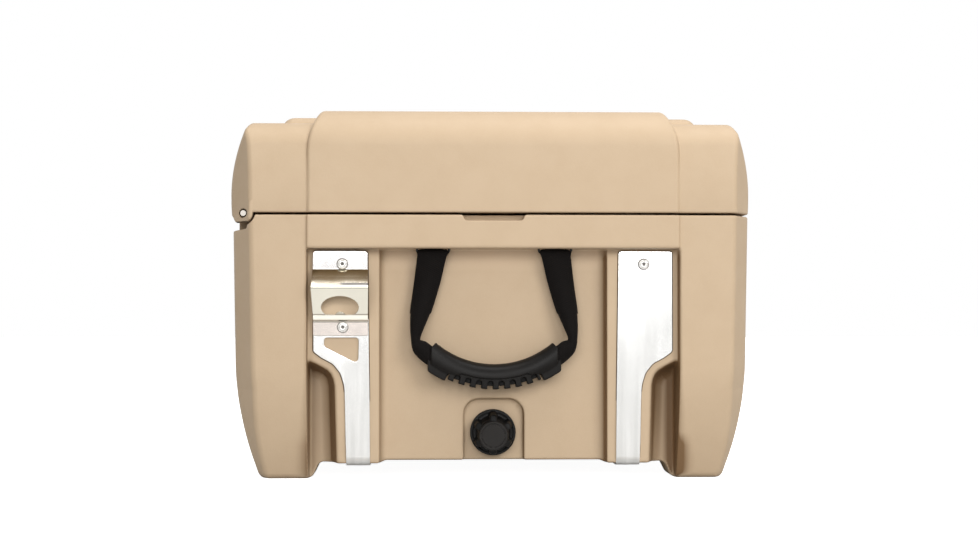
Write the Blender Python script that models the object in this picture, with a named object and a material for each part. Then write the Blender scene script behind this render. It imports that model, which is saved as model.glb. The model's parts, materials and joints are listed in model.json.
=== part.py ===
"""Rotomoulded cooler chest, built as an assembly of separate pieces.

Frame: origin at the centre of the footprint on the ground, +Z up, X along the
length, front (latch side) at -Y, hinge side at +Y.  The drain is at the -X end.
All lengths are in millimetres and are turned into metres by MM.
"""
import math

import bmesh
import bpy
from mathutils import Matrix, Vector

MM = 0.001

# ---------------------------------------------------------------- shared dimensions
END_X = 360.0            # half length at the proud centre of rim and lid
POST_X = 356.5           # half length at the corner posts
HALF_Y = 271.1           # half width of the body at the rim
BODY_TOP = 277.8         # rim top
UNDERSIDE = 17.0         # floor underside between the feet
RIM_BOTTOM = 243.0       # lower edge of the rim band
CENTRE_HALF = 195.0      # half width between the posts at the ends
SIDE_HALF = 262.0        # half length between the posts at front and rear
BOSS_X = 344.0           # face that carries the skid plates
BOSS_EDGE_R = 14.0       # rounded lower edge of that face
PANEL_X = 329.0          # recessed middle panel
PANEL_HALF = 120.0       # half width of the middle panel
POCKET_X = 317.0         # deep pockets beside the plates
SIDE_RECESS_Y = 255.0    # recessed front and rear walls
BIN_X, BIN_Y, BIN_FLOOR = 285.0, 207.0, 52.0
BIN_SUMP = 34.5
BIN_CORNER_R = 22.0
BIN_WALL = 6.0           # between the bin and the foam space
GAP = 0.3                # clearance between neighbouring pieces
FOAM_GAP = 0.4           # clearance round the foam
SEG = 24                 # default segments of a circle

# Cutters run past the solid to these places
FAR_X, FAR_Y, BELOW, ABOVE = 400.0, 300.0, -5.0, 300.0

LID_BOTTOM = 280.3       # lid skirt
LID_HALF_Y = 272.0       # half width of the lid at its crown
LID_CORNER_TOP = 373.0   # lowered corners of the lid
LID_TOP = 389.0          # raised middle of the lid
LID_STEP_BOTTOM = 274.5  # step that drops into the bin
LID_STEP_GAP = 3.0       # between the step and the bin wall
GASKET_X, GASKET_Y, GASKET_W = 308.0, 230.0, 8.0
GROOVE_GAP = 0.5         # clearance each side of the gasket

HINGE_Y, HINGE_Z = 262.0, 279.0
HINGE = (HINGE_Y, HINGE_Z)
HINGE_ROD_R = 3.0
HINGE_BORE_R = 3.4
KNUCKLE_R = 11.0
HINGE_RELIEF_R = 15.0
BODY_KNUCKLES = [(-298, -182), (-58, 58), (182, 298)]            # x ranges
LID_KNUCKLES = [(-345, -300), (-180, -60), (60, 180), (300, 345)]

PLUG_HOLE_R, PLUG_SEAT_R = 12.0, 14.0
PLUG_INSET = 0.4         # plug flange above the face it sits in
PLUG_SEAT_DEPTH = 2.4
BODY_PLUG_X = 60.0

SCREW_HEAD_R, SCREW_HEAD_H, SCREW_R = 6.0, 3.2, 3.0
SCREW_HOLE_R, SCREW_HOLE_SEG = 3.4, 10

PLATE_T = 2.0
PLATE_Y0, PLATE_Y1 = 131.8, 188.6        # edges of the upper part of a skid plate
TAIL_Y0, TAIL_Y1 = 128.6, 153.4          # edges of its narrow lower part
PLATE_SCREW_Y = (PLATE_Y0 + PLATE_Y1) / 2
UPPER_SCREW_Z, LOWER_SCREW_Z = 225.8, 158.0
FOOT_SCREW_X, FOOT_SCREW_Y = 322.0, (TAIL_Y0 + TAIL_Y1) / 2
OPENER_T = 2.2
OPENER_CORNER = "rear_drain"             # the skid plate that carries the opener
# corner: (sign of x, sign of y)
CORNERS = {"rear_drain": (-1, 1), "front_drain": (-1, -1), "rear_far": (1, 1), "front_far": (1, -1)}

DRAIN_FACE_X = 322.0     # face the drain seals on
DRAIN_Z = 47.7

STRAP_Y = 69.0           # centre of each handle strap at its anchor
STRAP_W, STRAP_T = 31.0, 2.6
ANCHOR_X, ANCHOR_Z, ANCHOR_R = 341.0, 236.0, 2.0
ANCHOR_HALF = 18.8       # half the distance between the legs
GRIP_X = 344.5
GRIP_RADIUS = 108.0      # centreline radius of the grip
GRIP_MID_Z = 107.5
GRIP_ANGLE = math.radians(38.5)          # half the angle the grip spans
ENDS = [(-1, "drain_end"), (1, "far_end")]

LATCH_X = 165.0
LATCH_PIN_Y, LATCH_PIN_Z, LATCH_PIN_R = -265.0, 178.0, 3.0
LATCH_PIN = (LATCH_PIN_Y, LATCH_PIN_Z)
LATCH_BORE_R = LATCH_PIN_R + 0.4
CHANNEL_HALF = 30.0
LATCH_SCREW_DX, LATCH_SCREW_Z = 17.0, 157.0


# ---------------------------------------------------------------- materials
def material(name, colour, roughness, metallic=0.0):
    mat = bpy.data.materials.new(name)
    mat.use_nodes = True
    shader = mat.node_tree.nodes["Principled BSDF"]
    shader.inputs["Base Color"].default_value = (*colour, 1.0)
    shader.inputs["Roughness"].default_value = roughness
    shader.inputs["Metallic"].default_value = metallic
    return mat


SAND = material("sand_polyethylene", colour=(0.66, 0.49, 0.35), roughness=0.55)
FOAM = material("insulation_foam", colour=(0.85, 0.80, 0.62), roughness=0.9)
STEEL = material("stainless_steel", colour=(0.78, 0.77, 0.75), roughness=0.22, metallic=1.0)
BLACK = material("black_plastic", colour=(0.03, 0.028, 0.026), roughness=0.45)
RUBBER = material("black_rubber", colour=(0.02, 0.02, 0.02), roughness=0.7)
WEB = material("webbing", colour=(0.014, 0.012, 0.011), roughness=0.85)
SEAL = material("seal_rubber", colour=(0.55, 0.54, 0.52), roughness=0.7)


# ---------------------------------------------------------------- outlines
def about(half, centre=0.0):
    """Range reaching half to each side of centre."""
    return centre - half, centre + half


def flip(points, sign):
    """Points with the first coordinate multiplied by sign."""
    return [(sign * a, b) for a, b in points]


def arc(centre, radius, start, end, steps):
    """Points on an arc, both ends included, angles in degrees."""
    angles = [math.radians(start + (end - start) * k / steps) for k in range(steps + 1)]
    return [(centre[0] + radius * math.cos(q), centre[1] + radius * math.sin(q)) for q in angles]


def circle(centre, radius, segments=SEG):
    return [(centre[0] + radius * math.cos(2 * math.pi * i / segments),
             centre[1] + radius * math.sin(2 * math.pi * i / segments)) for i in range(segments)]


def rounded(half_x, half_y, radius):
    """Rectangle outline with rounded corners."""
    points = []
    for sx, sy, start in ((1, 1, 0), (-1, 1, 90), (-1, -1, 180), (1, -1, 270)):
        centre = (sx * (half_x - radius), sy * (half_y - radius))
        points += arc(centre, radius, start, start + 90, 4)
    return points


def octagon(half_x, half_y, cut_x, cut_y, z):
    """Level ring: a rectangle with its corners cut off by cut_x and cut_y."""
    flat_x, flat_y = half_x - cut_x, half_y - cut_y
    return [(half_x, -flat_y, z), (half_x, flat_y, z), (flat_x, half_y, z), (-flat_x, half_y, z),
            (-half_x, flat_y, z), (-half_x, -flat_y, z), (-flat_x, -half_y, z),
            (flat_x, -half_y, z)]


def cross(outer_x, inner_x, outer_y, inner_y, z):
    """Level ring: a rectangle with a square notch at each corner."""
    return [(outer_x, -inner_y, z), (outer_x, inner_y, z), (inner_x, inner_y, z),
            (inner_x, outer_y, z), (-inner_x, outer_y, z), (-inner_x, inner_y, z),
            (-outer_x, inner_y, z), (-outer_x, -inner_y, z), (-inner_x, -inner_y, z),
            (-inner_x, -outer_y, z), (inner_x, -outer_y, z), (inner_x, -inner_y, z)]


# ---------------------------------------------------------------- solids
def finish_mesh(bm):
    bmesh.ops.remove_doubles(bm, verts=bm.verts, dist=1e-6)
    bmesh.ops.recalc_face_normals(bm, faces=bm.faces)
    mesh = bpy.data.meshes.new("solid")
    bm.to_mesh(mesh)
    bm.free()
    ob = bpy.data.objects.new("solid", mesh)
    bpy.context.scene.collection.objects.link(ob)
    return ob


def loft(rings):
    """Solid through rings of equal point count, capped at both ends."""
    bm = bmesh.new()
    rows = [[bm.verts.new(Vector(p) * MM) for p in ring] for ring in rings]
    count = len(rows[0])
    for a, b in zip(rows, rows[1:]):
        for i in range(count):
            j = (i + 1) % count
            bm.faces.new((a[i], a[j], b[j], b[i]))
    bm.faces.new(list(reversed(rows[0])))
    bm.faces.new(rows[-1])
    return finish_mesh(bm)


def prism(outline, axis, span):
    """Outline extruded along an axis: 'x' uses (y, z), 'y' uses (x, z), 'z' uses (x, y)."""
    slot = "xyz".index(axis)
    return loft([[(*p[:slot], t, *p[slot:]) for p in outline] for t in sorted(span)])


def box(x_span, y_span, z_span):
    x0, x1 = sorted(x_span)
    y0, y1 = sorted(y_span)
    return prism([(x0, y0), (x1, y0), (x1, y1), (x0, y1)], "z", z_span)


def rod(centre, radius, axis, span, segments=SEG):
    return prism(circle(centre, radius, segments), axis, span)


def turned(profile, origin, axis, segments=SEG):
    """Closed (distance along axis, radius) outline turned about an axis through origin.

    The outline is a closed loop that stays off the axis, or touches it only at
    its first and last points, where it is capped by triangle fans."""
    axis = Vector(axis).normalized()
    ref = Vector((0, 0, 1)) if abs(axis.z) < 0.9 else Vector((1, 0, 0))
    u = axis.cross(ref).normalized()
    v = axis.cross(u).normalized()
    origin = Vector(origin)
    bm = bmesh.new()
    rows = []
    for distance, radius in profile:
        centre = origin + axis * distance
        if radius == 0.0:
            rows.append([bm.verts.new(centre * MM)])
            continue
        rows.append([bm.verts.new((centre + (u * cos_q + v * sin_q) * radius) * MM)
                     for cos_q, sin_q in circle((0.0, 0.0), 1.0, segments)])
    pairs = list(zip(rows, rows[1:]))
    if profile[0][1] != 0.0:
        pairs.append((rows[-1], rows[0]))
    for a, b in pairs:
        for i in range(segments):
            j = (i + 1) % segments
            if len(a) == 1:
                bm.faces.new((a[0], b[j], b[i]))
            elif len(b) == 1:
                bm.faces.new((a[i], a[j], b[0]))
            else:
                bm.faces.new((a[i], a[j], b[j], b[i]))
    return finish_mesh(bm)


def boolean(ob, other, operation):
    mod = ob.modifiers.new("cut", "BOOLEAN")
    mod.operation = operation
    mod.solver = "EXACT"
    mod.object = other
    depsgraph = bpy.context.evaluated_depsgraph_get()
    mesh = bpy.data.meshes.new_from_object(ob.evaluated_get(depsgraph))
    ob.modifiers.clear()
    ob.data = mesh
    bpy.data.objects.remove(other, do_unlink=True)


def cut(ob, *others):
    for other in others:
        boolean(ob, other, "DIFFERENCE")


def join(ob, *others):
    for other in others:
        boolean(ob, other, "UNION")


def dress(ob, name, mat):
    """Give a finished solid its name, material and shading."""
    ob.name = name
    ob.data.name = name
    ob.data.materials.clear()
    ob.data.materials.append(mat)
    ob.data.shade_smooth()
    ob.data.set_sharp_from_angle(angle=math.radians(30.0))


def set_origin(ob, point):
    """Move the object's origin to its joint axis without moving its mesh."""
    point = Vector(point) * MM
    ob.data.transform(Matrix.Translation(-point))
    ob.location = point


# ---------------------------------------------------------------- shared features
def screw_hole(ob, centre, axis, span):
    cut(ob, rod(centre, SCREW_HOLE_R, axis, span, SCREW_HOLE_SEG))


def cut_latch_channel(ob, side, z_span):
    cut(ob, box(about(CHANNEL_HALF, side * LATCH_X), (-FAR_Y, -SIDE_RECESS_Y), z_span))


def cut_hinge_relief(ob):
    cut(ob, rod(HINGE, HINGE_RELIEF_R, "x", about(FAR_X), 28))


def add_knuckles(ob, outline, spans):
    for span in spans:
        join(ob, prism(outline, "x", span))
    cut(ob, rod(HINGE, HINGE_BORE_R, "x", about(FAR_X), 16))


def rectangular_ring(half_x, half_y, width, z_span):
    ring = box(about(half_x), about(half_y), z_span)
    cut(ring, box(about(half_x - width), about(half_y - width), (270, 290)))
    return ring


def fill_plug(name, x, face_z):
    """Flanged plug that closes a foam filling hole, body upwards from face_z."""
    profile = [(0.0, 0.0), (0.0, 13.0), (1.6, 13.0), (1.6, 11.6), (9.0, 11.4), (9.0, 0.0)]
    dress(turned(profile, (x, 0, face_z + PLUG_INSET), (0, 0, 1)), name, SAND)


def plate_screws(corner):
    """(y, z) of the screws through a skid plate's face, upper one first."""
    y = CORNERS[corner][1] * PLATE_SCREW_Y
    heights = [UPPER_SCREW_Z]
    if corner == OPENER_CORNER:
        heights.append(LOWER_SCREW_Z)
    return [(y, z) for z in heights]


def screw(name, origin, axis, shank):
    """Button head with a hex socket; axis points out of the head."""
    sweep = math.radians(75)
    profile = [(-shank, 0.0), (-shank, SCREW_R), (0.0, SCREW_R), (0.0, SCREW_HEAD_R)]
    for k in range(1, 3):
        q = sweep * k / 2
        profile.append((SCREW_HEAD_H * math.sin(q) / math.sin(sweep),
                        SCREW_HEAD_R - 3.4 * (1 - math.cos(q)) / (1 - math.cos(sweep))))
    profile.append((SCREW_HEAD_H, 0.0))
    ob = turned(profile, origin, axis, 12)
    origin, axis = Vector(origin), Vector(axis)
    u = axis.orthogonal().normalized()
    v = axis.cross(u)
    socket = []
    for height in (SCREW_HEAD_H - 2.0, SCREW_HEAD_H + 1):
        centre = origin + axis * height
        socket.append([tuple(centre + (u * math.cos(q) + v * math.sin(q)) * 2.3)
                       for q in (math.radians(60 * i) for i in range(6))])
    cut(ob, loft(socket))
    dress(ob, name, STEEL)


# ---------------------------------------------------------------- body
# level rings: half x, half y, corner cut x, corner cut y, z
BODY_STATIONS = [
    (328.0, 242.5, 8, 5, 0.0),
    (334.0, 248.9, 13, 8, 15.0),
    (342.5, 256.7, 20, 12, 41.0),
    (350.5, 264.4, 27, 16, 70.0),
    (354.0, 268.0, 30, 17, 95.0),
    (POST_X, HALF_Y, 30, 17, BODY_TOP)]
# deep pocket beside a skid plate: y, z
POCKET = [(CENTRE_HALF, 124.5), (188.0, 122.0), (174.0, 115.0), (168.0, 106.5), (166.0, 99),
          (162.0, BELOW), (CENTRE_HALF, BELOW)]


def foot_gap(foot_edge):
    """Space between two feet, whose inner sides slope."""
    top = foot_edge - 8
    return [(-foot_edge, BELOW), (foot_edge, BELOW), (foot_edge, 0), (top, UNDERSIDE),
            (-top, UNDERSIDE), (-foot_edge, 0)]


def cut_body_sides(body):
    """Recesses below the rim on all four sides."""
    centre = (BOSS_X - BOSS_EDGE_R, UNDERSIDE + BOSS_EDGE_R)
    # waste outside the rounded lower edge of the boss: x, z
    edge = ([(BOSS_X + 5, UNDERSIDE - 5), (centre[0], UNDERSIDE - 5)]
            + arc(centre, BOSS_EDGE_R, -90, 0, 6) + [(BOSS_X + 5, centre[1])])
    height = (BELOW, RIM_BOTTOM)
    for end in (-1, 1):
        cut(body,
            box((end * FAR_X, end * BOSS_X), about(CENTRE_HALF), height),
            box((end * FAR_X, end * PANEL_X), about(PANEL_HALF), height))
        for side in (-1, 1):
            cut(body,
                prism(flip(POCKET, side), "x", (end * FAR_X, end * POCKET_X)),
                prism(flip(edge, end), "y", (side * 112, side * 170)))
        # the same sign picks the front or rear wall
        cut(body, box(about(SIDE_HALF), (end * FAR_X, end * SIDE_RECESS_Y), height))


def cut_drain_recess(body):
    """Arch in the -X panel, open at the bottom."""
    half, top, radius = 32, 80, 13
    arch = [(-half, BELOW), (half, BELOW)]
    arch += arc((half - radius, top - radius), radius, 0, 90, 6)
    arch += arc((radius - half, top - radius), radius, 90, 180, 6)
    cut(body, prism(arch, "x", (-FAR_X, -DRAIN_FACE_X)))


def body_space(shrink):
    """Space between the walls, shrunk for the foam that fills it."""
    space = box(about(313 - shrink), about(236 - shrink), (27 + shrink, 262 - shrink))
    wall = BIN_WALL + shrink
    cut(space,
        box(about(BIN_X + wall), about(BIN_Y + wall), (BIN_FLOOR - wall, ABOVE)),
        box((-330, -225 + shrink), about(44 + shrink), (20, 78 + shrink)))
    return space


def cut_body_screw_holes(body):
    for corner, (end, side) in CORNERS.items():
        for centre in plate_screws(corner):
            screw_hole(body, centre, "x", (end * FAR_X, end * (BOSS_X - 18)))
        screw_hole(body, (end * FOOT_SCREW_X, side * FOOT_SCREW_Y), "z", (0, UNDERSIDE + 16))
    for side in (-1, 1):
        for x in about(LATCH_SCREW_DX, side * LATCH_X):
            screw_hole(body, (x, LATCH_SCREW_Z), "y", (-270, -SIDE_RECESS_Y + 14))
    # strap anchors plug into the underside of the rim
    for end in (-1, 1):
        for side in (-1, 1):
            for y in about(ANCHOR_HALF, side * STRAP_Y):
                cut(body, rod((end * ANCHOR_X, y), ANCHOR_R + 0.4, "z", (238, 258), 8))


def build_body():
    body = loft([octagon(*station) for station in BODY_STATIONS])
    # centre band of the rim, slightly proud of the posts
    for end in (-1, 1):
        join(body, box((end * 330, end * END_X), about(CENTRE_HALF), (RIM_BOTTOM, BODY_TOP)))
    cut(body,
        prism(foot_gap(191), "x", about(FAR_X)),
        prism(foot_gap(268), "y", about(FAR_Y)))
    cut_body_sides(body)
    cut_drain_recess(body)
    # notches in the rim under the lid, both ends
    notch = [(-30, 270.8), (30, 270.8), (34, 290), (-34, 290)]
    for end in (-1, 1):
        cut(body, prism(notch, "x", (end * FAR_X, end * (END_X - 12))))
    for side in (-1, 1):
        cut_latch_channel(body, side, (235, ABOVE))
    # storage bin with its drain sump
    cut(body,
        prism(rounded(BIN_X, BIN_Y, BIN_CORNER_R), "z", (BIN_FLOOR, ABOVE)),
        box((-BIN_X, -235), about(22), (BIN_SUMP, BIN_FLOOR + 10)))
    cut_hinge_relief(body)
    knuckle = ([(HINGE_Y + 9.0, 258.0), (HINGE_Y + 9.0, 272.0)]
               + arc(HINGE, KNUCKLE_R, 36, 180, 8) + [(HINGE_Y - KNUCKLE_R, 258.0)])
    add_knuckles(body, knuckle, BODY_KNUCKLES)
    cut(body,
        body_space(0.0),
        rod((BODY_PLUG_X, 0), PLUG_HOLE_R, "z", (0, 30)),
        rod((0, DRAIN_Z), 9.5, "x", (-340, -280)))
    cut_body_screw_holes(body)
    cut(body, rod((BODY_PLUG_X, 0), PLUG_SEAT_R, "z", (0, UNDERSIDE + PLUG_SEAT_DEPTH)))
    dress(body, "body_shell", SAND)
    dress(body_space(FOAM_GAP), "body_foam", FOAM)
    fill_plug("body_fill_plug", BODY_PLUG_X, UNDERSIDE)


# ---------------------------------------------------------------- lid
# level rings: half x, half y, corner cut x, corner cut y, z
LID_STATIONS = [
    (POST_X, 271.2, 30, 17, LID_BOTTOM),
    (POST_X + 0.8, LID_HALF_Y, 30, 17, 300.0),
    (POST_X, 270.8, 30, 17, 318.0),
    (352.5, 265.6, 29, 17, 345.0),
    (345.5, 258.6, 26, 16, 361.5),
    (332.0, 246.0, 22, 15, LID_CORNER_TOP)]
# proud centre of each end and raised middle: outer x, inner x, outer y, inner y, z
RAISED_STATIONS = [
    (END_X, 262.0, 240.0, CENTRE_HALF, LID_BOTTOM),
    (END_X, 262.0, 240.0, CENTRE_HALF, 345.0),
    (357.0, 261.0, 240.0, 194.0, 362.0),
    (350.0, 256.0, 234.0, 189.0, 376.0),
    (340.0, 250.0, 226.0, 182.0, 385.0),
    (326.0, 246.0, 216.0, 178.0, LID_TOP)]
# keeper prong that the latch hooks over: y, z
PRONG = [(-SIDE_RECESS_Y + 3, 294.0), (-269, 297.0), (-269, 304.2), (-SIDE_RECESS_Y + 3, 304.2)]


def lid_space(shrink):
    """Space inside the lid, shrunk for the foam that fills it."""
    return box(about(325 - shrink), about(236 - shrink), (293 + shrink, 365 - shrink))


def build_lid():
    lid = loft([octagon(*station) for station in LID_STATIONS])
    join(lid, loft([cross(*station) for station in RAISED_STATIONS]))
    step = rounded(BIN_X - LID_STEP_GAP, BIN_Y - LID_STEP_GAP, 21.0)
    join(lid, prism(step, "z", (LID_STEP_BOTTOM, LID_BOTTOM + 2)))
    cut(lid, rectangular_ring(GASKET_X + GROOVE_GAP, GASKET_Y + GROOVE_GAP,
                              GASKET_W + 2 * GROOVE_GAP, (279, 286.5)))
    # latch channels in the front edge, each with a two-prong keeper
    for side in (-1, 1):
        cut_latch_channel(lid, side, (270, 340))
        centre = side * LATCH_X
        for hand in (-1, 1):
            join(lid, prism(PRONG, "x", (centre + hand * 10.5, centre + hand * 27.0)))
    cut_hinge_relief(lid)
    knuckle = ([(HINGE_Y - KNUCKLE_R, 298.0)] + arc(HINGE, KNUCKLE_R, 180, 324, 8)
               + [(HINGE_Y + 9.6, 284.0), (HINGE_Y + 9.6, 298.0)])
    add_knuckles(lid, knuckle, LID_KNUCKLES)
    cut(lid,
        lid_space(0.0),
        rod((0, 0), PLUG_HOLE_R, "z", (260, 300)),
        rod((0, 0), PLUG_SEAT_R, "z", (260, LID_STEP_BOTTOM + PLUG_SEAT_DEPTH)))
    dress(lid, "lid_shell", SAND)
    set_origin(lid, (0, HINGE_Y, HINGE_Z))
    dress(lid_space(FOAM_GAP), "lid_foam", FOAM)
    fill_plug("lid_fill_plug", 0, LID_STEP_BOTTOM)
    gasket = rectangular_ring(GASKET_X, GASKET_Y, GASKET_W, (BODY_TOP + GAP, 286))
    dress(gasket, "lid_gasket", SEAL)
    dress(rod(HINGE, HINGE_ROD_R, "x", about(344), 20), "hinge_rod", STEEL)


# ---------------------------------------------------------------- skid plates
# flat face of a plate: y, z
PLATE_FACE = [
    (PLATE_Y0, 239.4), (129.4, 83.0), (TAIL_Y0, 31.0), (TAIL_Y1, 31.0), (156.0, 98.0),
    (159.2, 111.3), (167.6, 121.0), (176.4, 126.0), (184.5, 130.5), (PLATE_Y1, 136.0),
    (PLATE_Y1, 239.4)]
# three-cornered slot below the bottle opener: y, z
PLATE_SLOT = [
    (141.0, 146.6), (144.0, 147.6), (172.5, 147.6), (175.6, 146.0), (175.8, 140.8),
    (174.0, 138.6), (145.0, 122.6), (141.8, 122.4), (140.6, 125.0)]
TAIL_END_X = 306.0


def plate_bend():
    """Lower end of a plate, bent under the boss round its rounded edge: x, z."""
    inner_x, outer_x = BOSS_X + GAP, BOSS_X + GAP + PLATE_T
    centre = (BOSS_X - BOSS_EDGE_R, UNDERSIDE + BOSS_EDGE_R)
    radius = BOSS_EDGE_R + GAP
    outer = arc(centre, radius + PLATE_T, 0, -90, 6)
    inner = arc(centre, radius, 0, -90, 6)
    return ([(outer_x, centre[1] + 2)] + outer
            + [(TAIL_END_X, UNDERSIDE - GAP - PLATE_T), (TAIL_END_X, UNDERSIDE - GAP)]
            + inner[::-1] + [(inner_x, centre[1] + 2)])


def build_skid_plate(corner, end, side):
    through = (end * 340, end * 360)
    plate = prism(flip(PLATE_FACE, side), "x", (end * (BOSS_X + GAP), end * (BOSS_X + GAP + PLATE_T)))
    join(plate, prism(flip(plate_bend(), end), "y", (side * TAIL_Y0, side * TAIL_Y1)))
    if corner == OPENER_CORNER:
        cut(plate, prism(flip(PLATE_SLOT, side), "x", through))
    for centre in plate_screws(corner):
        screw_hole(plate, centre, "x", through)
    screw_hole(plate, (end * FOOT_SCREW_X, side * FOOT_SCREW_Y), "z", (5, 25))
    dress(plate, "skid_plate_" + corner, STEEL)


def build_plate_screws(corner, end, side):
    head_x = BOSS_X + PLATE_T + 2 * GAP
    if corner == OPENER_CORNER:
        head_x += OPENER_T + GAP
    for (y, z), place in zip(plate_screws(corner), ("upper", "lower")):
        screw("plate_screw_%s_%s" % (corner, place), (end * head_x, y, z), (end, 0, 0), 16.0)
    foot = (end * FOOT_SCREW_X, side * FOOT_SCREW_Y, UNDERSIDE - PLATE_T - 2 * GAP)
    screw("foot_screw_" + corner, foot, (0, 0, -1), 14.0)


# ---------------------------------------------------------------- bottle opener
OPENER_X = BOSS_X + 2 * GAP + PLATE_T    # back of the opener's flanges
# back of the bent strip: distance out from the flanges, z
OPENER_BACK = [(0.0, 239.0), (0.0, 217.4), (11.2, 199.0), (3.4, 172.0), (0.0, 167.6), (0.0, 150.4)]
# lower edge of the mouth, with its lip: y, z
MOUTH_LOWER = [(142.0, 173.0), (148.5, 171.8), (153.0, 176.2), (167.4, 176.2), (171.9, 171.8),
               (178.4, 173.0)]


def offset_profile(points, distance):
    """Parallel line at a distance outwards (+x side), mitred at the bends."""
    normals = []
    for a, b in zip(points, points[1:]):
        along = (Vector(b) - Vector(a)).normalized()
        normals.append(Vector((-along.y, along.x)))
    out = []
    for i, (x, z) in enumerate(points):
        near = normals[max(0, i - 1):i + 1]
        mitre = sum(near, Vector((0, 0))).normalized()
        reach = distance / mitre.dot(near[0])
        out.append((x + mitre.x * reach, z + mitre.y * reach))
    return out


def build_bottle_opener():
    back = [(OPENER_X + out, z) for out, z in OPENER_BACK]
    front = offset_profile(back, OPENER_T)
    opener = prism(flip(back + front[::-1], -1), "y", (PLATE_Y0, PLATE_Y1))
    mouth = []
    for k in range(13):
        q = math.radians(180 * k / 12)
        mouth.append((PLATE_SCREW_Y + 19.8 * math.cos(q), 177.5 + 14.5 * math.sin(q)))
    cut(opener, prism(mouth + MOUTH_LOWER, "x", (-375, -OPENER_X - 0.4)))
    for centre in plate_screws(OPENER_CORNER):
        screw_hole(opener, centre, "x", (-375, -340))
    dress(opener, "bottle_opener", STEEL)


# ---------------------------------------------------------------- drain
# turned outlines: distance out from the drain face, radius
BUSHING = [(-38.5, 6.0), (-38.5, 9.0), (0.3, 9.0), (0.3, 15.0), (3.3, 15.0), (3.3, 9.0),
           (17.0, 9.0), (17.0, 6.0)]
WASHER = [(3.7, 9.5), (3.7, 14.5), (6.2, 14.5), (6.2, 9.5)]
NUT_T = 6.0
CAP_SEG = 48
CAP_SKIRT = [(6.6, 23.6), (7.4, 24.2), (10.6, 24.2), (11.2, 23.2)]   # distance, radius
CAP_LOBES = [(11.2, 1.0), (23.0, 0.98), (25.5, 0.90)]                # distance, scale
CAP_TIP = [(26.5, 15.4), (29.0, 14.4)]                               # distance, radius


def cap_ring(distance, radii):
    angles = [2 * math.pi * k / CAP_SEG for k in range(CAP_SEG)]
    return [(-DRAIN_FACE_X - distance, radius * math.sin(q), DRAIN_Z + radius * math.cos(q))
            for q, radius in zip(angles, radii)]


def build_drain_cap():
    """Cap with a round skirt and a six-lobed grip."""
    lobes = []
    for k in range(CAP_SEG):
        bulge = 0.5 + 0.5 * math.cos(6 * (2 * math.pi * k / CAP_SEG))
        lobes.append(17.6 + 5.2 * bulge ** 0.7)
    rings = [cap_ring(distance, [radius] * CAP_SEG) for distance, radius in CAP_SKIRT]
    rings += [cap_ring(distance, [r * scale for r in lobes]) for distance, scale in CAP_LOBES]
    rings += [cap_ring(distance, [radius] * CAP_SEG) for distance, radius in CAP_TIP]
    cap = loft(rings)
    cut(cap, rod((0, DRAIN_Z), 9.7, "x", (-DRAIN_FACE_X - 21.0, -DRAIN_FACE_X)))
    dress(cap, "drain_cap", BLACK)
    set_origin(cap, (-DRAIN_FACE_X, 0, DRAIN_Z))


def build_drain():
    origin = (-DRAIN_FACE_X, 0, DRAIN_Z)
    dress(turned(BUSHING, origin, (-1, 0, 0)), "drain_bushing", BLACK)
    dress(turned(WASHER, origin, (-1, 0, 0)), "drain_washer", SEAL)
    nut = rod((0, DRAIN_Z), 12.6, "x", (-BIN_X + GAP, -BIN_X + GAP + NUT_T), 6)
    cut(nut, rod((0, DRAIN_Z), 9.4, "x", (-300, -260)))
    dress(nut, "drain_inner_nut", BLACK)
    build_drain_cap()


# ---------------------------------------------------------------- strap anchors
def build_anchor(name, end, side):
    """U-shaped wire loop whose legs sit in the underside of the rim."""
    y0, y1 = about(ANCHOR_HALF, side * STRAP_Y)
    bend, top = 3.0, 256.0
    path = ([(y0, top)] + arc((y0 + bend, ANCHOR_Z + bend), bend, 180, 270, 4)
            + arc((y1 - bend, ANCHOR_Z + bend), bend, 270, 360, 4) + [(y1, top)])
    points = [Vector((end * ANCHOR_X, y, z)) for y, z in path]
    u = Vector((1, 0, 0))
    rings = []
    for i, point in enumerate(points):
        before, after = points[max(0, i - 1)], points[min(len(points) - 1, i + 1)]
        v = (after - before).normalized().cross(u)
        rings.append([tuple(point + (u * cos_q + v * sin_q) * ANCHOR_R)
                      for cos_q, sin_q in circle((0.0, 0.0), 1.0, 10)])
    dress(loft(rings), name, STEEL)


# ---------------------------------------------------------------- handles
GRIP_CENTRE_Z = GRIP_MID_Z + GRIP_RADIUS     # height of the grip arc's centre
GRIP_SEG, GRIP_STEPS = 12, 12
# webbing from its anchor down to the fold:
# x out from the anchor, y, z, turn of its width from y towards x in degrees, width, thickness
STRAP_STATIONS = [
    (0, STRAP_Y, ANCHOR_Z - 3.4, 0, STRAP_W, STRAP_T), (0.2, STRAP_Y, 226, 3, STRAP_W, STRAP_T),
    (1.5, 74.5, 207, 18, 30.0, STRAP_T), (2.5, 79.0, 188, 38, 28.0, 2.8),
    (3.5, 82.6, 172, 55, 25.0, 3.2), (4.3, 85.0, 158, 76, 21.0, 4.0),
    (4.5, 85.4, 149, 90, 18.0, 4.6)]
# turn from downwards to along the grip: y, z
STRAP_FOLD = [(85.0, 143.5), (83.6, 139.6), (80.4, 137.2), (76.6, 135.2)]
FOLDED_W, FOLDED_T = 18.0, 4.6


def grip_frame(q):
    """Centre and unit radial direction (towards the arc centre) at angle q from the middle."""
    centre = Vector((GRIP_X, GRIP_RADIUS * math.sin(q), GRIP_CENTRE_Z - GRIP_RADIUS * math.cos(q)))
    return centre, Vector((0, -math.sin(q), math.cos(q)))


def signed_power(value, exponent):
    return math.copysign(abs(value) ** exponent, value)


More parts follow.
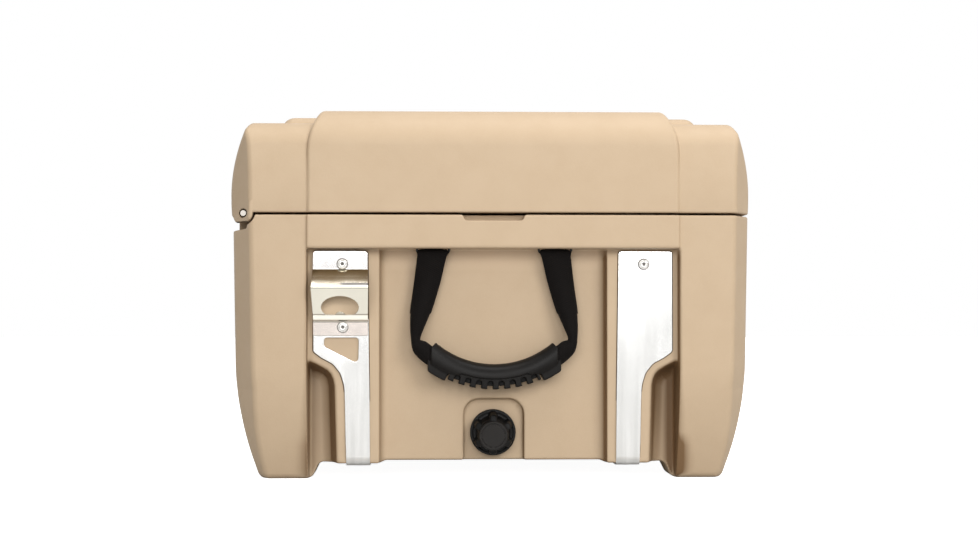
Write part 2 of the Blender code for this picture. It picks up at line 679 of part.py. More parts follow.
def grip_section(end, q, half_x, half_radial, exponent):
    """Squarish oval across the grip at angle q."""
    centre, radial = grip_frame(q)
    ring = []
    for k in range(GRIP_SEG):
        turn = 2 * math.pi * k / GRIP_SEG
        p = (centre + Vector((1, 0, 0)) * half_x * signed_power(math.cos(turn), exponent)
             + radial * half_radial * signed_power(math.sin(turn), exponent))
        ring.append((end * p.x, p.y, p.z))
    return ring


def build_grip(name, end):
    """Curved hollow tube, open at both ends."""
    outer, inner = [], []
    for i in range(GRIP_STEPS + 1):
        q = -GRIP_ANGLE + 2 * GRIP_ANGLE * i / GRIP_STEPS
        taper = (abs(q) / GRIP_ANGLE) ** 2
        outer.append(grip_section(end, q, 13.2 - 1.4 * taper, 12.6 - 1.8 * taper, 0.8))
        inner.append(grip_section(end, q, 10.2, 3.9, 0.5))
    bm = bmesh.new()
    outer, inner = [[[bm.verts.new(Vector(p) * MM) for p in ring] for ring in rings]
                    for rings in (outer, inner)]
    for rows, order in ((outer, 1), (inner, -1)):
        for a, b in zip(rows, rows[1:]):
            for k in range(GRIP_SEG):
                j = (k + 1) % GRIP_SEG
                bm.faces.new((a[k], a[j], b[j], b[k])[::order])
    # annular end faces
    for a, b in ((outer[0], inner[0]), (outer[-1], inner[-1])):
        for k in range(GRIP_SEG):
            j = (k + 1) % GRIP_SEG
            bm.faces.new((a[k], a[j], b[j], b[k]))
    grip = finish_mesh(bm)
    dress(grip, name, BLACK)
    return grip


def strap_stations():
    """(centre, width direction, width, thickness) along the whole strap, from +Y to -Y."""
    half = []
    for out, y, z, degrees, width, thick in STRAP_STATIONS:
        turn = math.radians(degrees)
        half.append((Vector((ANCHOR_X + out, y, z)),
                     Vector((math.sin(turn), math.cos(turn), 0)), width, thick))
    centres = [Vector((GRIP_X, y, z)) for y, z in STRAP_FOLD]
    centres += [grip_frame(GRIP_ANGLE * 1.02 * (1 - i / 6))[0] for i in range(7)]
    turn = math.radians(90)
    across = Vector((math.sin(turn), math.cos(turn), 0))
    half += [(centre, across, FOLDED_W, FOLDED_T) for centre in centres]
    mirror = Vector((1, -1, 1))
    return half + [(centre * mirror, direction * mirror, width, thick)
                   for centre, direction, width, thick in reversed(half[:-1])]


def build_strap(name, end):
    """One length of webbing: anchor loop, down, through the grip, and up again."""
    stations = strap_stations()
    rings = []
    for i, (centre, direction, width, thick) in enumerate(stations):
        before = stations[max(0, i - 1)][0]
        after = stations[min(len(stations) - 1, i + 1)][0]
        along = (after - before).normalized()
        across = (direction - along * direction.dot(along)).normalized()
        through = along.cross(across).normalized()
        ring = []
        for su, sv in ((-1, -1), (1, -1), (1, 1), (-1, 1)):
            p = centre + across * (width / 2 * su) + through * (thick / 2 * sv)
            ring.append((end * p.x, p.y, p.z))
        rings.append(ring)
    strap = loft(rings)
    # sewn loops round the anchor bars
    bar = (end * ANCHOR_X, ANCHOR_Z)
    for side in (1, -1):
        y = side * STRAP_Y
        # a rod along y takes (x, z) as its centre
        loop = rod(bar, ANCHOR_R + 3.1, "y", about(STRAP_W / 2, y), 20)
        cut(loop, rod(bar, ANCHOR_R + 0.5, "y", about(STRAP_W / 2 + 5, y), 16))
        join(strap, loop)
    dress(strap, name, WEB)
    return strap


def build_handle(end, end_name):
    for side, side_name in ((1, "rear"), (-1, "front")):
        build_anchor("strap_anchor_%s_%s" % (end_name, side_name), end, side)
    for piece in (build_grip("handle_grip_" + end_name, end),
                  build_strap("handle_strap_" + end_name, end)):
        set_origin(piece, (end * ANCHOR_X, 0, ANCHOR_Z))


# ---------------------------------------------------------------- latches
# side views of the latch: y from the pin, z
LATCH_STEM = [(-3.5, LATCH_PIN_Z), (3.5, LATCH_PIN_Z), (3.5, 292), (3.8, 306), (-3.2, 306),
              (-3.5, 292)]
LATCH_WEB = [(-3.4, LATCH_PIN_Z), (3.4, LATCH_PIN_Z), (3.4, 262), (-3.4, 262)]
LATCH_HEAD = [(8.0, 305.2), (8.4, 312.0), (3.0, 317.5), (1.0, 335.0), (-4.0, 335.5),
              (-5.5, 318.0), (-5.0, 305.2)]
BRACKET_HALF, BRACKET_T = 28.4, 2.0
BRACKET_BACK_Y = -SIDE_RECESS_Y - GAP
# bracket ear: y, z
EAR = [(BRACKET_BACK_Y - 1.0, 166), (-266, 168), (-270.4, 172), (-271.4, 178), (-270.4, 184),
       (-266, 188), (BRACKET_BACK_Y - 1.0, 190)]


def latch_slab(outline, centre_x, half_width):
    return prism([(LATCH_PIN_Y + dy, z) for dy, z in outline], "x", about(half_width, centre_x))


def build_latch(name, centre_x):
    latch = latch_slab(LATCH_STEM, centre_x, 8.5)
    join(latch,
         latch_slab(LATCH_WEB, centre_x, 22.0),
         rod(LATCH_PIN, 6.5, "x", about(24.0, centre_x)),
         latch_slab(LATCH_HEAD, centre_x, 25.0))
    cut(latch, rod(LATCH_PIN, LATCH_BORE_R, "x", about(40, centre_x), 16))
    dress(latch, name, RUBBER)
    set_origin(latch, (centre_x, LATCH_PIN_Y, LATCH_PIN_Z))


def build_bracket(name, centre_x):
    """Plate on the recessed front wall with an ear at each side of the latch."""
    bracket = box(about(BRACKET_HALF, centre_x),
                  (BRACKET_BACK_Y - BRACKET_T, BRACKET_BACK_Y), (148, 190))
    for hand in (-1, 1):
        join(bracket, prism(EAR, "x", (centre_x + hand * (BRACKET_HALF - BRACKET_T),
                                       centre_x + hand * BRACKET_HALF)))
    cut(bracket, rod(LATCH_PIN, LATCH_BORE_R, "x", about(40, centre_x), 16))
    for x in about(LATCH_SCREW_DX, centre_x):
        screw_hole(bracket, (x, LATCH_SCREW_Z), "y", (-270, -250))
    dress(bracket, name, STEEL)


def build_latch_set(side, side_name):
    centre_x = side * LATCH_X
    build_latch("latch_" + side_name, centre_x)
    build_bracket("latch_bracket_" + side_name, centre_x)
    dress(rod(LATCH_PIN, LATCH_PIN_R, "x", about(29.2, centre_x), 16),
          "latch_pin_" + side_name, STEEL)
    for hand, place in ((side, "outer"), (-side, "inner")):
        screw("latch_screw_%s_%s" % (side_name, place),
              (centre_x + hand * LATCH_SCREW_DX, BRACKET_BACK_Y - BRACKET_T - GAP, LATCH_SCREW_Z),
              (0, -1, 0), 12.0)


# ---------------------------------------------------------------- assembly
for old in list(bpy.data.objects):
    bpy.data.objects.remove(old, do_unlink=True)

build_body()
build_lid()
for corner_name, (x_sign, y_sign) in CORNERS.items():
    build_skid_plate(corner_name, x_sign, y_sign)
    build_plate_screws(corner_name, x_sign, y_sign)
build_bottle_opener()
build_drain()
for x_sign, label in ENDS:
    build_handle(x_sign, label)
for x_sign, label in ((-1, "left"), (1, "right")):
    build_latch_set(x_sign, label)
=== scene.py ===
"""Cooler chest: detailed pieces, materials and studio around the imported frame.

X runs along the chest, with the drain end at -X. Y runs across it, with the latches at -Y
(front) and the hinge at +Y (rear). Z is up from the ground. Shapes are in millimetres;
materials, lights and camera are in metres. Most pieces are fields: functions of x, y, z
that are negative inside the shape and about the distance to its surface outside.
"""
import json
import math
import bpy
import bmesh
import numpy as np
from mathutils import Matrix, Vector


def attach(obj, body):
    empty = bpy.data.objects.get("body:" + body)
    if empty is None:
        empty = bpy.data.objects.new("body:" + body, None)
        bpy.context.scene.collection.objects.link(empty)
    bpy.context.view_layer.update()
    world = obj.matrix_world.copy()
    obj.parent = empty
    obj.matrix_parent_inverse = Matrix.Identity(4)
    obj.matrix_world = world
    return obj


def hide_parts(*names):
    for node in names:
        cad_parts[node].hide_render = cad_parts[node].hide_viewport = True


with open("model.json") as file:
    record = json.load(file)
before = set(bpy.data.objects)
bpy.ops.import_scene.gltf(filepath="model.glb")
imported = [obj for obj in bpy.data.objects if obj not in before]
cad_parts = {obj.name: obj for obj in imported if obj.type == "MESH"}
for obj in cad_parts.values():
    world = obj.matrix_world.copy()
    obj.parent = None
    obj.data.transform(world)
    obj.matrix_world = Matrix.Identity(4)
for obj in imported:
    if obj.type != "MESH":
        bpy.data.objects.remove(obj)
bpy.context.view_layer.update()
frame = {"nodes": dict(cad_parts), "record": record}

MM = 0.001

ENDS = (("drain", -1), ("far", 1))
CORNERS = [(f"{side}_{end}", sign_x, sign_y)
           for end, sign_x in ENDS for side, sign_y in (("front", -1), ("rear", 1))]


# ---------------------------------------------------------------- mesh tools
def link(ob):
    bpy.context.scene.collection.objects.link(ob)
    return ob


def array_mesh(name, points, faces, normals=None):
    """Smooth mesh from points in mm and quads, with normals if given."""
    faces = np.asarray(faces, dtype=np.int32)
    me = bpy.data.meshes.new(name)
    me.vertices.add(len(points))
    metres = np.asarray(points, dtype=np.float64) * MM
    me.vertices.foreach_set("co", metres.astype(np.float32).ravel())
    me.loops.add(faces.size)
    me.loops.foreach_set("vertex_index", faces.ravel())
    me.polygons.add(len(faces))
    starts = np.arange(0, faces.size, faces.shape[1], dtype=np.int32)
    me.polygons.foreach_set("loop_start", starts)
    me.update(calc_edges=True)
    me.validate()
    me.shade_smooth()
    if normals is not None and len(me.vertices) == len(normals):
        me.normals_split_custom_set_from_vertices(normals.astype(np.float32))
    return me


def float_attribute(me, name, values):
    attribute = me.attributes.new(name, "FLOAT", "POINT")
    attribute.data.foreach_set("value", values)


def face_outward(me, caps=()):
    """Add cap faces, given as lists of vertices, and turn every face outward."""
    bm = bmesh.new()
    bm.from_mesh(me)
    bm.verts.ensure_lookup_table()
    for cap in caps:
        bm.faces.new([bm.verts[k] for k in cap])
    bmesh.ops.recalc_face_normals(bm, faces=bm.faces)
    bm.to_mesh(me)
    bm.free()
    return me


def ring_faces(rings, around, closed=False):
    """Quads between successive rings of points; closed joins the last ring to the first."""
    low = np.arange(rings * around).reshape(rings, around)
    high = np.roll(low, -1, axis=0)
    if not closed:
        low, high = low[:-1], high[:-1]
    quads = [low, np.roll(low, -1, axis=1), np.roll(high, -1, axis=1), high]
    return np.stack(quads, -1).reshape(-1, 4)


def place(name, me, mat, body, slot, *nodes):
    """Object for a mesh, riding on a body and standing in for the named CAD nodes."""
    ob = link(bpy.data.objects.new(name, me))
    ob.data.materials.clear()
    ob.data.materials.append(mat)
    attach(ob, body)
    if nodes:
        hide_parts(*nodes)
    return ob


def lines(low, high, coarse, bands=(), grow=0.35):
    """Grid coordinates, fine inside the bands (from, to, step) and coarser away from them."""
    scale = 1.0

    def step(x):
        size = coarse
        for start, stop, fine in bands:
            away = 0.0 if start <= x <= stop else min(abs(x - start), abs(x - stop))
            size = min(size, fine * scale + grow * away)
        return size
    marks = [low]
    while marks[-1] < high:
        size = step(marks[-1])
        marks.append(marks[-1] + min(size, step(marks[-1] + size)))
    marks = np.array(marks)
    return low + (marks - low) * (high - low) / (marks[-1] - low)


def mirror_lines(high, coarse, bands=()):
    half = lines(0.0, high, coarse, bands)
    return np.concatenate([-half[:0:-1], half])


def on_side(marks, sign):
    """Grid coordinates as given for sign 1, or mirrored for sign -1."""
    return marks if sign > 0 else -marks[::-1]


def cell_points(values, inside, grid):
    """One point in each cell the surface crosses, and the index of the cells' points."""
    shape = tuple(n - 1 for n in values.shape)
    corners = [(a, b, c) for a in (0, 1) for b in (0, 1) for c in (0, 1)]
    filled = np.zeros(shape, np.uint8)
    for corner in corners:
        filled += inside[tuple(slice(o, n + o) for o, n in zip(corner, shape))]
    cells = np.nonzero((filled > 0) & (filled < 8))
    index = np.full(shape, -1, np.int32)
    index[cells] = np.arange(len(cells[0]))
    total = np.zeros((len(cells[0]), 3))
    count = np.zeros(len(cells[0]))
    for low in corners:
        for axis in (2, 1, 0):
            if low[axis]:
                continue
            high = tuple(1 if a == axis else low[a] for a in range(3))
            ends = []
            for offset in (low, high):
                at = tuple(c + o for c, o in zip(cells, offset))
                spots = np.stack([marks[i] for marks, i in zip(grid, at)], 1)
                ends.append((values[at].astype(np.float64), spots))
            (v0, p0), (v1, p1) = ends
            cut = (v0 < 0) != (v1 < 0)
            part = (v0[cut] / (v0[cut] - v1[cut]))[:, None]
            total[cut] += p0[cut] + (p1[cut] - p0[cut]) * part
            count[cut] += 1
    return total / count[:, None], index


def cell_quads(inside, index):
    """A quad across each grid edge that the surface crosses."""
    quads = []
    for axis in range(3):
        below = [slice(1, -1)] * 3
        above = [slice(1, -1)] * 3
        below[axis] = slice(0, -1)
        above[axis] = slice(1, None)
        at = np.nonzero(inside[tuple(below)] != inside[tuple(above)])
        at = [c + (a != axis) for a, c in enumerate(at)]
        ring = []
        for back in ((1, 1), (0, 1), (0, 0), (1, 0)):
            cell = list(at)
            for turn in (0, 1):
                cell[(axis + 1 + turn) % 3] = at[(axis + 1 + turn) % 3] - back[turn]
            ring.append(index[tuple(cell)])
        quad = np.stack(ring, 1)
        flip = ~inside[tuple(at)]
        quad[flip] = quad[flip][:, ::-1]
        quads.append(quad)
    return np.concatenate(quads)


def gradient(field, points, reach):
    slopes = np.empty_like(points)
    for a in range(3):
        shift = np.zeros(3)
        shift[a] = reach
        ahead, behind = points + shift, points - shift
        slopes[:, a] = (field(*ahead.T) - field(*behind.T)) / (2 * reach)
    return slopes


def hollow_depth(field, points, normals):
    """How enclosed each surface point is, from the field sampled above it."""
    depth = np.zeros(len(points))
    for reach, weight in ((3.0, 0.22), (7.0, 0.26), (14.0, 0.24), (26.0, 0.20), (44.0, 0.12)):
        above = points + normals * reach
        depth += weight * np.clip(1 - field(*above.T) / reach, 0, 1.6)
    return depth.astype(np.float32)


def surface_net(name, field, grid, limit=0.6, reach=0.05, cavity=False):
    """Closed mesh of field = 0, pulled on to the exact surface, with its exact normals.

    limit is the longest pull and reach the distance slopes are sampled over.
    """
    xs, ys, zs = grid
    values = np.empty([len(marks) for marks in grid], np.float32)
    for i in range(0, len(xs), 24):
        values[i:i + 24] = field(xs[i:i + 24].astype(np.float32)[:, None, None],
                                 ys.astype(np.float32)[None, :, None],
                                 zs.astype(np.float32)[None, None, :])
    inside = values < 0
    points, index = cell_points(values, inside, grid)
    for _ in range(3):
        value = field(*points.T)
        slope = gradient(field, points, reach)
        pull = -(value / np.maximum((slope * slope).sum(1), 0.25))[:, None] * slope
        length = np.linalg.norm(pull, axis=1)
        pull *= np.minimum(1.0, limit / np.maximum(length, 1e-9))[:, None]
        points += pull
    normals = gradient(field, points, reach * 1.5)
    normals /= np.maximum(np.linalg.norm(normals, axis=1), 1e-9)[:, None]
    me = array_mesh(name, points, cell_quads(inside, index), normals)
    if cavity:
        float_attribute(me, "cavity", hollow_depth(field, points, normals))
    return me


# --------------------------------------------------------------- field tools
def radius(a, b):
    return np.sqrt(a ** 2 + b ** 2)


def meet(a, b, r):
    """Intersection with a rounded outer edge of radius r."""
    return np.minimum(-r, np.maximum(a, b)) + radius(np.maximum(r + a, 0), np.maximum(r + b, 0))


def join(a, b, r):
    """Union with a rounded inner corner of radius r."""
    return -meet(-a, -b, r)


def carve(solid, cut, r):
    """Solid less the cut, with a rounded edge of radius r."""
    return meet(solid, -cut, r)


def soft_max(a, b, width):
    near = np.maximum(width - np.abs(a - b), 0) / width
    return np.maximum(a, b) + near * near * width * 0.25


def soft_min(a, b, width):
    return -soft_max(-a, -b, width)


def ease(start, stop, value):
    """Smooth step from 0 at start to 1 at stop."""
    part = np.clip((value - start) / float(stop - start), 0, 1)
    return part * part * (3 - 2 * part)


def round_rect(x, y, half_x, half_y, r):
    over_x = np.abs(x) - (half_x - r)
    over_y = np.abs(y) - (half_y - r)
    outside = radius(np.maximum(over_x, 0), np.maximum(over_y, 0))
    return outside + np.minimum(np.maximum(over_x, over_y), 0) - r


def to_segment(u, v, start, end):
    """Squared distance to a segment, and whether the point is on its left."""
    (u0, v0), (u1, v1) = start, end
    run_u, run_v = u1 - u0, v1 - v0
    off_u, off_v = u - u0, v - v0
    part = np.clip((off_u * run_u + off_v * run_v) / (run_u * run_u + run_v * run_v), 0, 1)
    square = (off_u - run_u * part) ** 2 + (off_v - run_v * part) ** 2
    return square, run_u * off_v > run_v * off_u


def polygon(u, v, outline):
    """Exact signed distance to a closed outline."""
    nearest = math.inf
    sign = np.ones(np.broadcast(u, v).shape, np.float32)
    for i in range(len(outline)):
        start, end = outline[i], outline[i - 1]
        square, left = to_segment(u, v, start, end)
        nearest = np.minimum(nearest, square)
        above, below = v >= start[1], v < end[1]
        sign = np.where((above & below & left) | (~above & ~below & ~left), -sign, sign)
    return sign * np.sqrt(nearest)


def band(u, v, path):
    """Distance to an open line."""
    nearest = math.inf
    for start, end in zip(path[:-1], path[1:]):
        nearest = np.minimum(nearest, to_segment(u, v, start, end)[0])
    return np.sqrt(nearest)


def fillet(corners, seg, closed=True):
    """Outline from corners (u, v, radius), each rounded in seg steps."""
    out = []
    spots = [np.array(corner[:2], float) for corner in corners]
    for i, spot in enumerate(spots):
        if not closed and i in (0, len(spots) - 1):
            out.append(tuple(spot))
            continue
        back = spots[i - 1] - spot
        ahead = spots[(i + 1) % len(spots)] - spot
        back_len, ahead_len = np.linalg.norm(back), np.linalg.norm(ahead)
        back, ahead = back / back_len, ahead / ahead_len
        half = math.acos(max(-1.0, min(1.0, float(back @ ahead)))) / 2
        if abs(half - math.pi / 2) < 0.02 or corners[i][2] <= 0:
            out.append(tuple(spot))
            continue
        trim = min(corners[i][2] / math.tan(half), 0.48 * back_len, 0.48 * ahead_len)
        r = trim * math.tan(half)
        centre = spot + (back + ahead) / np.linalg.norm(back + ahead) * (r / math.sin(half))
        v0, v1 = spot + back * trim - centre, spot + ahead * trim - centre
        sweep = math.atan2(v0[0] * v1[1] - v0[1] * v1[0], float(v0 @ v1))
        for k in range(seg + 1):
            turn = sweep * k / seg
            out.append((centre[0] + v0[0] * math.cos(turn) - v0[1] * math.sin(turn),
                        centre[1] + v0[0] * math.sin(turn) + v0[1] * math.cos(turn)))
    return out


def subdivide(points, pitch):
    """Points along a line about a pitch apart, less the last one."""
    fine = []
    for start, end in zip(points[:-1], points[1:]):
        start, end = np.array(start), np.array(end)
        count = max(1, int(math.hypot(*(end - start)[:2]) / pitch))
        fine += [start + (end - start) * k / count for k in range(count)]
    return fine


# -------------------------------------------------------------------- shells
END_X, POST_X, HALF_Y = 360.0, 356.5, 271.1  # raised end face, corner posts, long sides
TOP, UNDER, RIM = 277.0, 17.0, 242.0         # top, underside, top of the outer recesses
BOSS_X, PANEL_X, POCKET_X, ARCH_X = 344.0, 329.0, 317.0, 322.0  # floors of the end recesses
SIDE_Y = 255.0                               # floor of the side recesses and latch channels
LID_X, LID_Y, LID_TOP = 357.3, 272.0, 389.0
HINGE_Y, HINGE_Z = 262.0, 279.0
LATCH_X, CHANNEL_HALF = 165.0, 30.0
HANDLE_Y = -0.9                              # middle of the handles and the drain arch
DRAIN_Z = 47.7
CHAMFER_X, CHAMFER_Y = 0.4932, 0.8699        # direction the corner chamfers face
GASKET = (304.0, 226.0, 12.0)                # half length, half width, corner radius

# wall lines from the rim down: (height, half size there, slope)
TAPER_X = ((277.8, POST_X, 0.01368), (95, 354.0, 0.213), (41, 342.5, 0.354))
TAPER_Y = ((277.8, HALF_Y, 0.01696), (95, 268.0, 0.2093), (41, 256.7, 0.346))

# outline (|y|, z) of the deep pockets beside the end panels
POCKET = [(420, 124.5), (196, 124.5), (188, 122.0), (180.5, 118.6), (174, 115.0),
          (170.0, 110.6), (167.6, 105.2), (166.2, 98), (161.6, -60), (420, -60)]


def taper(z, stations):
    upper, lower, foot = (half + (z - height) * slope for height, half, slope in stations)
    return soft_min(soft_min(upper, lower, 5.0), foot, 3.0)


def from_hinge(y, z):
    return radius(y - HINGE_Y, z - HINGE_Z)


def knuckles(y, z, leaf, back, along):
    """Barrels on the hinge axis with a leaf (y, z, half height), cut off at y = back."""
    leaf_y, leaf_z, half_z = leaf
    block = np.maximum(np.abs(y - leaf_y) - 9.8, np.abs(z - leaf_z) - half_z)
    barrel = meet(np.minimum(from_hinge(y, z) - 11.0, block), y - back, 1.5)
    return meet(barrel, along, 1.4)


def end_recess(x, y, z):
    """Space cut into both ends: bosses, middle panel, deep pockets and drain arch."""
    abs_x, abs_y = np.abs(x), np.abs(y)
    depth = BOSS_X - abs_x
    panel = meet(abs_y - (119.5 - 0.13 * depth), PANEL_X - abs_x, 8.0)
    space = join(depth, panel, 1.8)
    pocket = polygon(abs_y, z, POCKET) + 0.30 * depth
    space = join(space, meet(pocket, POCKET_X - abs_x, 8.0), 3.2)
    arch = round_rect(y - HANDLE_Y, z - 12.1, 31.8, 72.1, 16.5) + 0.10 * (PANEL_X - abs_x)
    arch = np.where(x < 0, meet(arch, ARCH_X - abs_x, 2.5), 99.0)
    space = join(space, arch, 2.2)
    space = meet(space, abs_y - (195.6 - 0.05 * (END_X - abs_x)), 3.0)
    return meet(space, z - RIM, 2.5)


def body_field(x, y, z):
    """Chest body with its recesses, storage bin, drain and hinge knuckles."""
    abs_x, abs_y = np.abs(x), np.abs(y)
    # tapered walls; the long sides stand out past the corner posts
    swell = np.where(y > 0, 4.2, 2.4)
    end = abs_x - taper(z, TAPER_X)
    side = abs_y - taper(z, TAPER_Y) - swell
    corner = (CHAMFER_X * end + CHAMFER_Y * (side + swell)
              + 14.8 * np.clip(0.2 + 0.8 * z / 95, 0.2, 1))
    body = meet(meet(end, corner, 4.0), side, 4.0)
    body = join(body, meet(abs_y - 195.0, abs_x - END_X, 2.2), 1.6)
    body = meet(body, z - TOP, 2.2)
    body = meet(body, -z, 6.0)
    # underside between the feet
    under = z - (UNDER + 2.4 * ease(120, 112, abs_y))
    flare = 0.47 * (UNDER - z)
    lengthwise = meet(abs_y - (183.0 + flare), under, 4.0)
    crosswise = meet(abs_x - (260.0 + flare), under, 4.0)
    body = carve(body, join(lengthwise, crosswise, 2.0), 4.5)
    body = carve(body, end_recess(x, y, z), 2.6)
    # finger notches at the rim of both ends
    notch = meet(abs_y - (30 + 0.45 * np.clip(z - 271, -5, 20)), 271.0 - z, 2.0)
    body = carve(body, meet(notch, 348.0 - abs_x, 2.0), 1.4)
    # long sides: recess between the posts, latch channels through the front rim
    recess = meet(abs_x - (262.0 - 0.10 * (HALF_Y - abs_y)), z - RIM, 8.0)
    channel = meet(np.abs(abs_x - LATCH_X) - CHANNEL_HALF, 200.0 - z, 3.0)
    recess = np.where(y < 0, join(recess, channel, 5.0), recess)
    body = carve(body, meet(recess, SIDE_Y - abs_y, 7.0), 3.4)
    # storage bin, sump and drain bore
    body = carve(body, meet(round_rect(x, y, 285.0, 207.0, 22.0), 52.0 - z, 12.0), 3.5)
    sump = meet(meet(abs_y - 22.0, np.abs(x + 259.0) - 24.0, 6.0), 34.5 - z, 6.0)
    body = carve(body, meet(sump, z - 66.0, 1.0), 2.5)
    bore = meet(radius(y, z - DRAIN_Z) - 9.3, x + 270.0, 0.5)
    body = carve(body, meet(bore, -x - 345.0, 0.5), 0.6)
    # hinge relief and body knuckles
    hinge = from_hinge(y, z)
    relief = np.minimum(hinge - (15.0 - 1.8 * ease(298.5, 300.5, abs_x)),
                        meet(hinge - 16.6, 259.0 - y, 2.0))
    ledge = meet(262.3 - 0.0875 * (y - 262.0) - z, 257.8 - y, 2.0)
    body = carve(body, np.minimum(relief, ledge), 1.2)
    along = np.minimum(abs_x - 58.0, np.abs(abs_x - 240.0) - 58.0)
    return join(body, knuckles(y, z, (260.4, 262.0, 16.5), 271.4, along), 0.9)


def lid_field(x, y, z):
    """Lid with its raised middle, plug, gasket groove, latch keepers and knuckles."""
    abs_x, abs_y = np.abs(x), np.abs(y)
    above = np.maximum(z - 300.0, 0) ** 2
    below = np.maximum(300.0 - z, 0) ** 2
    end = abs_x - (LID_X - 0.0014 * above - 0.002 * below)
    side = abs_y - (LID_Y - 0.0038 * above - 0.002 * below) - np.where(y > 0, 5.6, 2.4)
    corner = CHAMFER_X * (abs_x - LID_X) + CHAMFER_Y * (abs_y - 254.6)
    lid = meet(meet(end, z - 375.2, 25.0), corner, 3.6)
    lid = meet(lid, side, 4.0)
    # raised middle: end sections and the long plateau share one top
    raised_x = abs_x - (END_X - 0.0004 * above)
    raised_y = abs_y - 194.8
    raised_y = soft_max(raised_y, 0.903 * raised_y + 0.428 * (z - 361.0), 9.0)
    ends = meet(meet(raised_x, z - LID_TOP, 40.0), raised_y, 4.0)
    slope_x = 0.85 * (abs_x - 262.0) + 0.53 * (z - 373.0)
    slope_y = 0.85 * (abs_y - 232.0) + 0.53 * (z - 373.0)
    plateau = meet(meet(slope_x, slope_y, 8.0), z - LID_TOP, 5.0)
    lid = join(lid, np.minimum(ends, np.maximum(plateau, 352.0 - z)), 1.8)
    lid = meet(lid, 279.4 - z, 1.8)
    # plug that drops into the bin, and the gasket groove
    plug = meet(round_rect(x, y, 282.0, 204.0, 21.0), 274.5 - z, 2.5)
    lid = join(lid, np.maximum(plug, z - 287.0), 1.5)
    groove = np.abs(round_rect(x, y, *GASKET)) - 4.3
    lid = carve(lid, meet(groove, z - 286.4, 0.8), 0.8)
    # latch channels and two-prong keepers
    channel = meet(np.abs(abs_x - LATCH_X) - CHANNEL_HALF, SIDE_Y + y, 4.0)
    lid = carve(lid, meet(channel, z - 340.0, 6.0), 3.0)
    prongs = meet(np.abs(np.abs(abs_x - LATCH_X) - 18.75) - 8.25, -y - 269.0, 2.5)
    hook = meet(z - 304.2, 0.95 * (296.0 - z) + 0.2 * (-y - 262.0), 1.4)
    lid = join(lid, meet(meet(prongs, hook, 1.4), y + 249.0, 0.5), 1.6)
    # hinge relief, gaps for the body knuckles, then the lid's own
    hinge = from_hinge(y, z)
    lid = meet(lid, np.where(abs_x < 301.0, 15.0 - hinge, -9.0), 1.2)
    gap = np.minimum(abs_x - 59.2, np.abs(abs_x - 240.0) - 59.2)
    lid = carve(lid, meet(meet(gap, 264.0 - y, 1.0), z - 290.4, 1.0), 1.2)
    along = np.abs(abs_x - 120.0) - 60.0
    lid = join(lid, knuckles(y, z, (260.6, 290.0, 11.5), 271.8, along), 0.9)
    # end knuckles, cut by the corner chamfer, with the rod's bore
    lobe = round_rect(y - LID_Y, z - 288.0, 21.0, 20.0, 11.0)
    lobe = meet(lobe, y - LID_Y - 5.6 + 0.002 * below, 8.0)
    lobe = meet(meet(lobe, corner, 3.6), meet(end, 302.0 - abs_x, 1.4), 1.4)
    reach = 2.8 * ease(275.0, 279.5, z)
    lobe = meet(lobe, hinge - 12.9 - reach - 40.0 * ease(279.5, 284.0, z), 1.0)
    lid = np.minimum(lid, np.maximum(lobe, z - 292.0))
    return carve(lid, meet(hinge - 4.7, 331.0 - abs_x, 0.5), 0.6)


# fine stretches of the shells' grids: (from, to, step)
SHELL_X = [(312, 322, 1.6), (326, 332, 1.6), (340, 362, 1.3), (254, 266, 1.9), (281, 288, 1.7),
           (56, 62, 1.5), (178, 184, 1.5), (298, 302, 1.5), (132, 138, 1.6), (192, 198, 1.6),
           (233, 238, 2.0)]
LID_EXTRA_X = [(298, 310, 1.3), (240, 268, 1.8)]
BODY_Y = [(24, 34, 1.5), (102, 122, 1.6), (158, 175, 1.5), (182, 198, 1.3), (203, 210, 1.7),
          (236, 274, 1.4)]
LID_BAND_Y = [(174, 232, 1.5), (236, 274, 1.4)]
BODY_Z = [(0, 22, 1.5), (92, 126, 1.6), (238, 247, 1.1), (268, 280, 1.1)]
LID_BAND_Z = BODY_Z + [(272, 306, 1.1), (336, 344, 1.6), (358, 391, 1.5)]
LID_BAND_Z = LID_BAND_Z[len(BODY_Z):]


def shell_grid(x_bands, y_bands, z_marks):
    return mirror_lines(366.0, 9.0, x_bands), mirror_lines(278.0, 9.0, y_bands), z_marks


BODY_GRID = shell_grid(SHELL_X, BODY_Y, lines(-4.0, 294.0, 7.0, BODY_Z))
LID_GRID = shell_grid(SHELL_X + LID_EXTRA_X, LID_BAND_Y, lines(270.0, 394.0, 6.0, LID_BAND_Z))


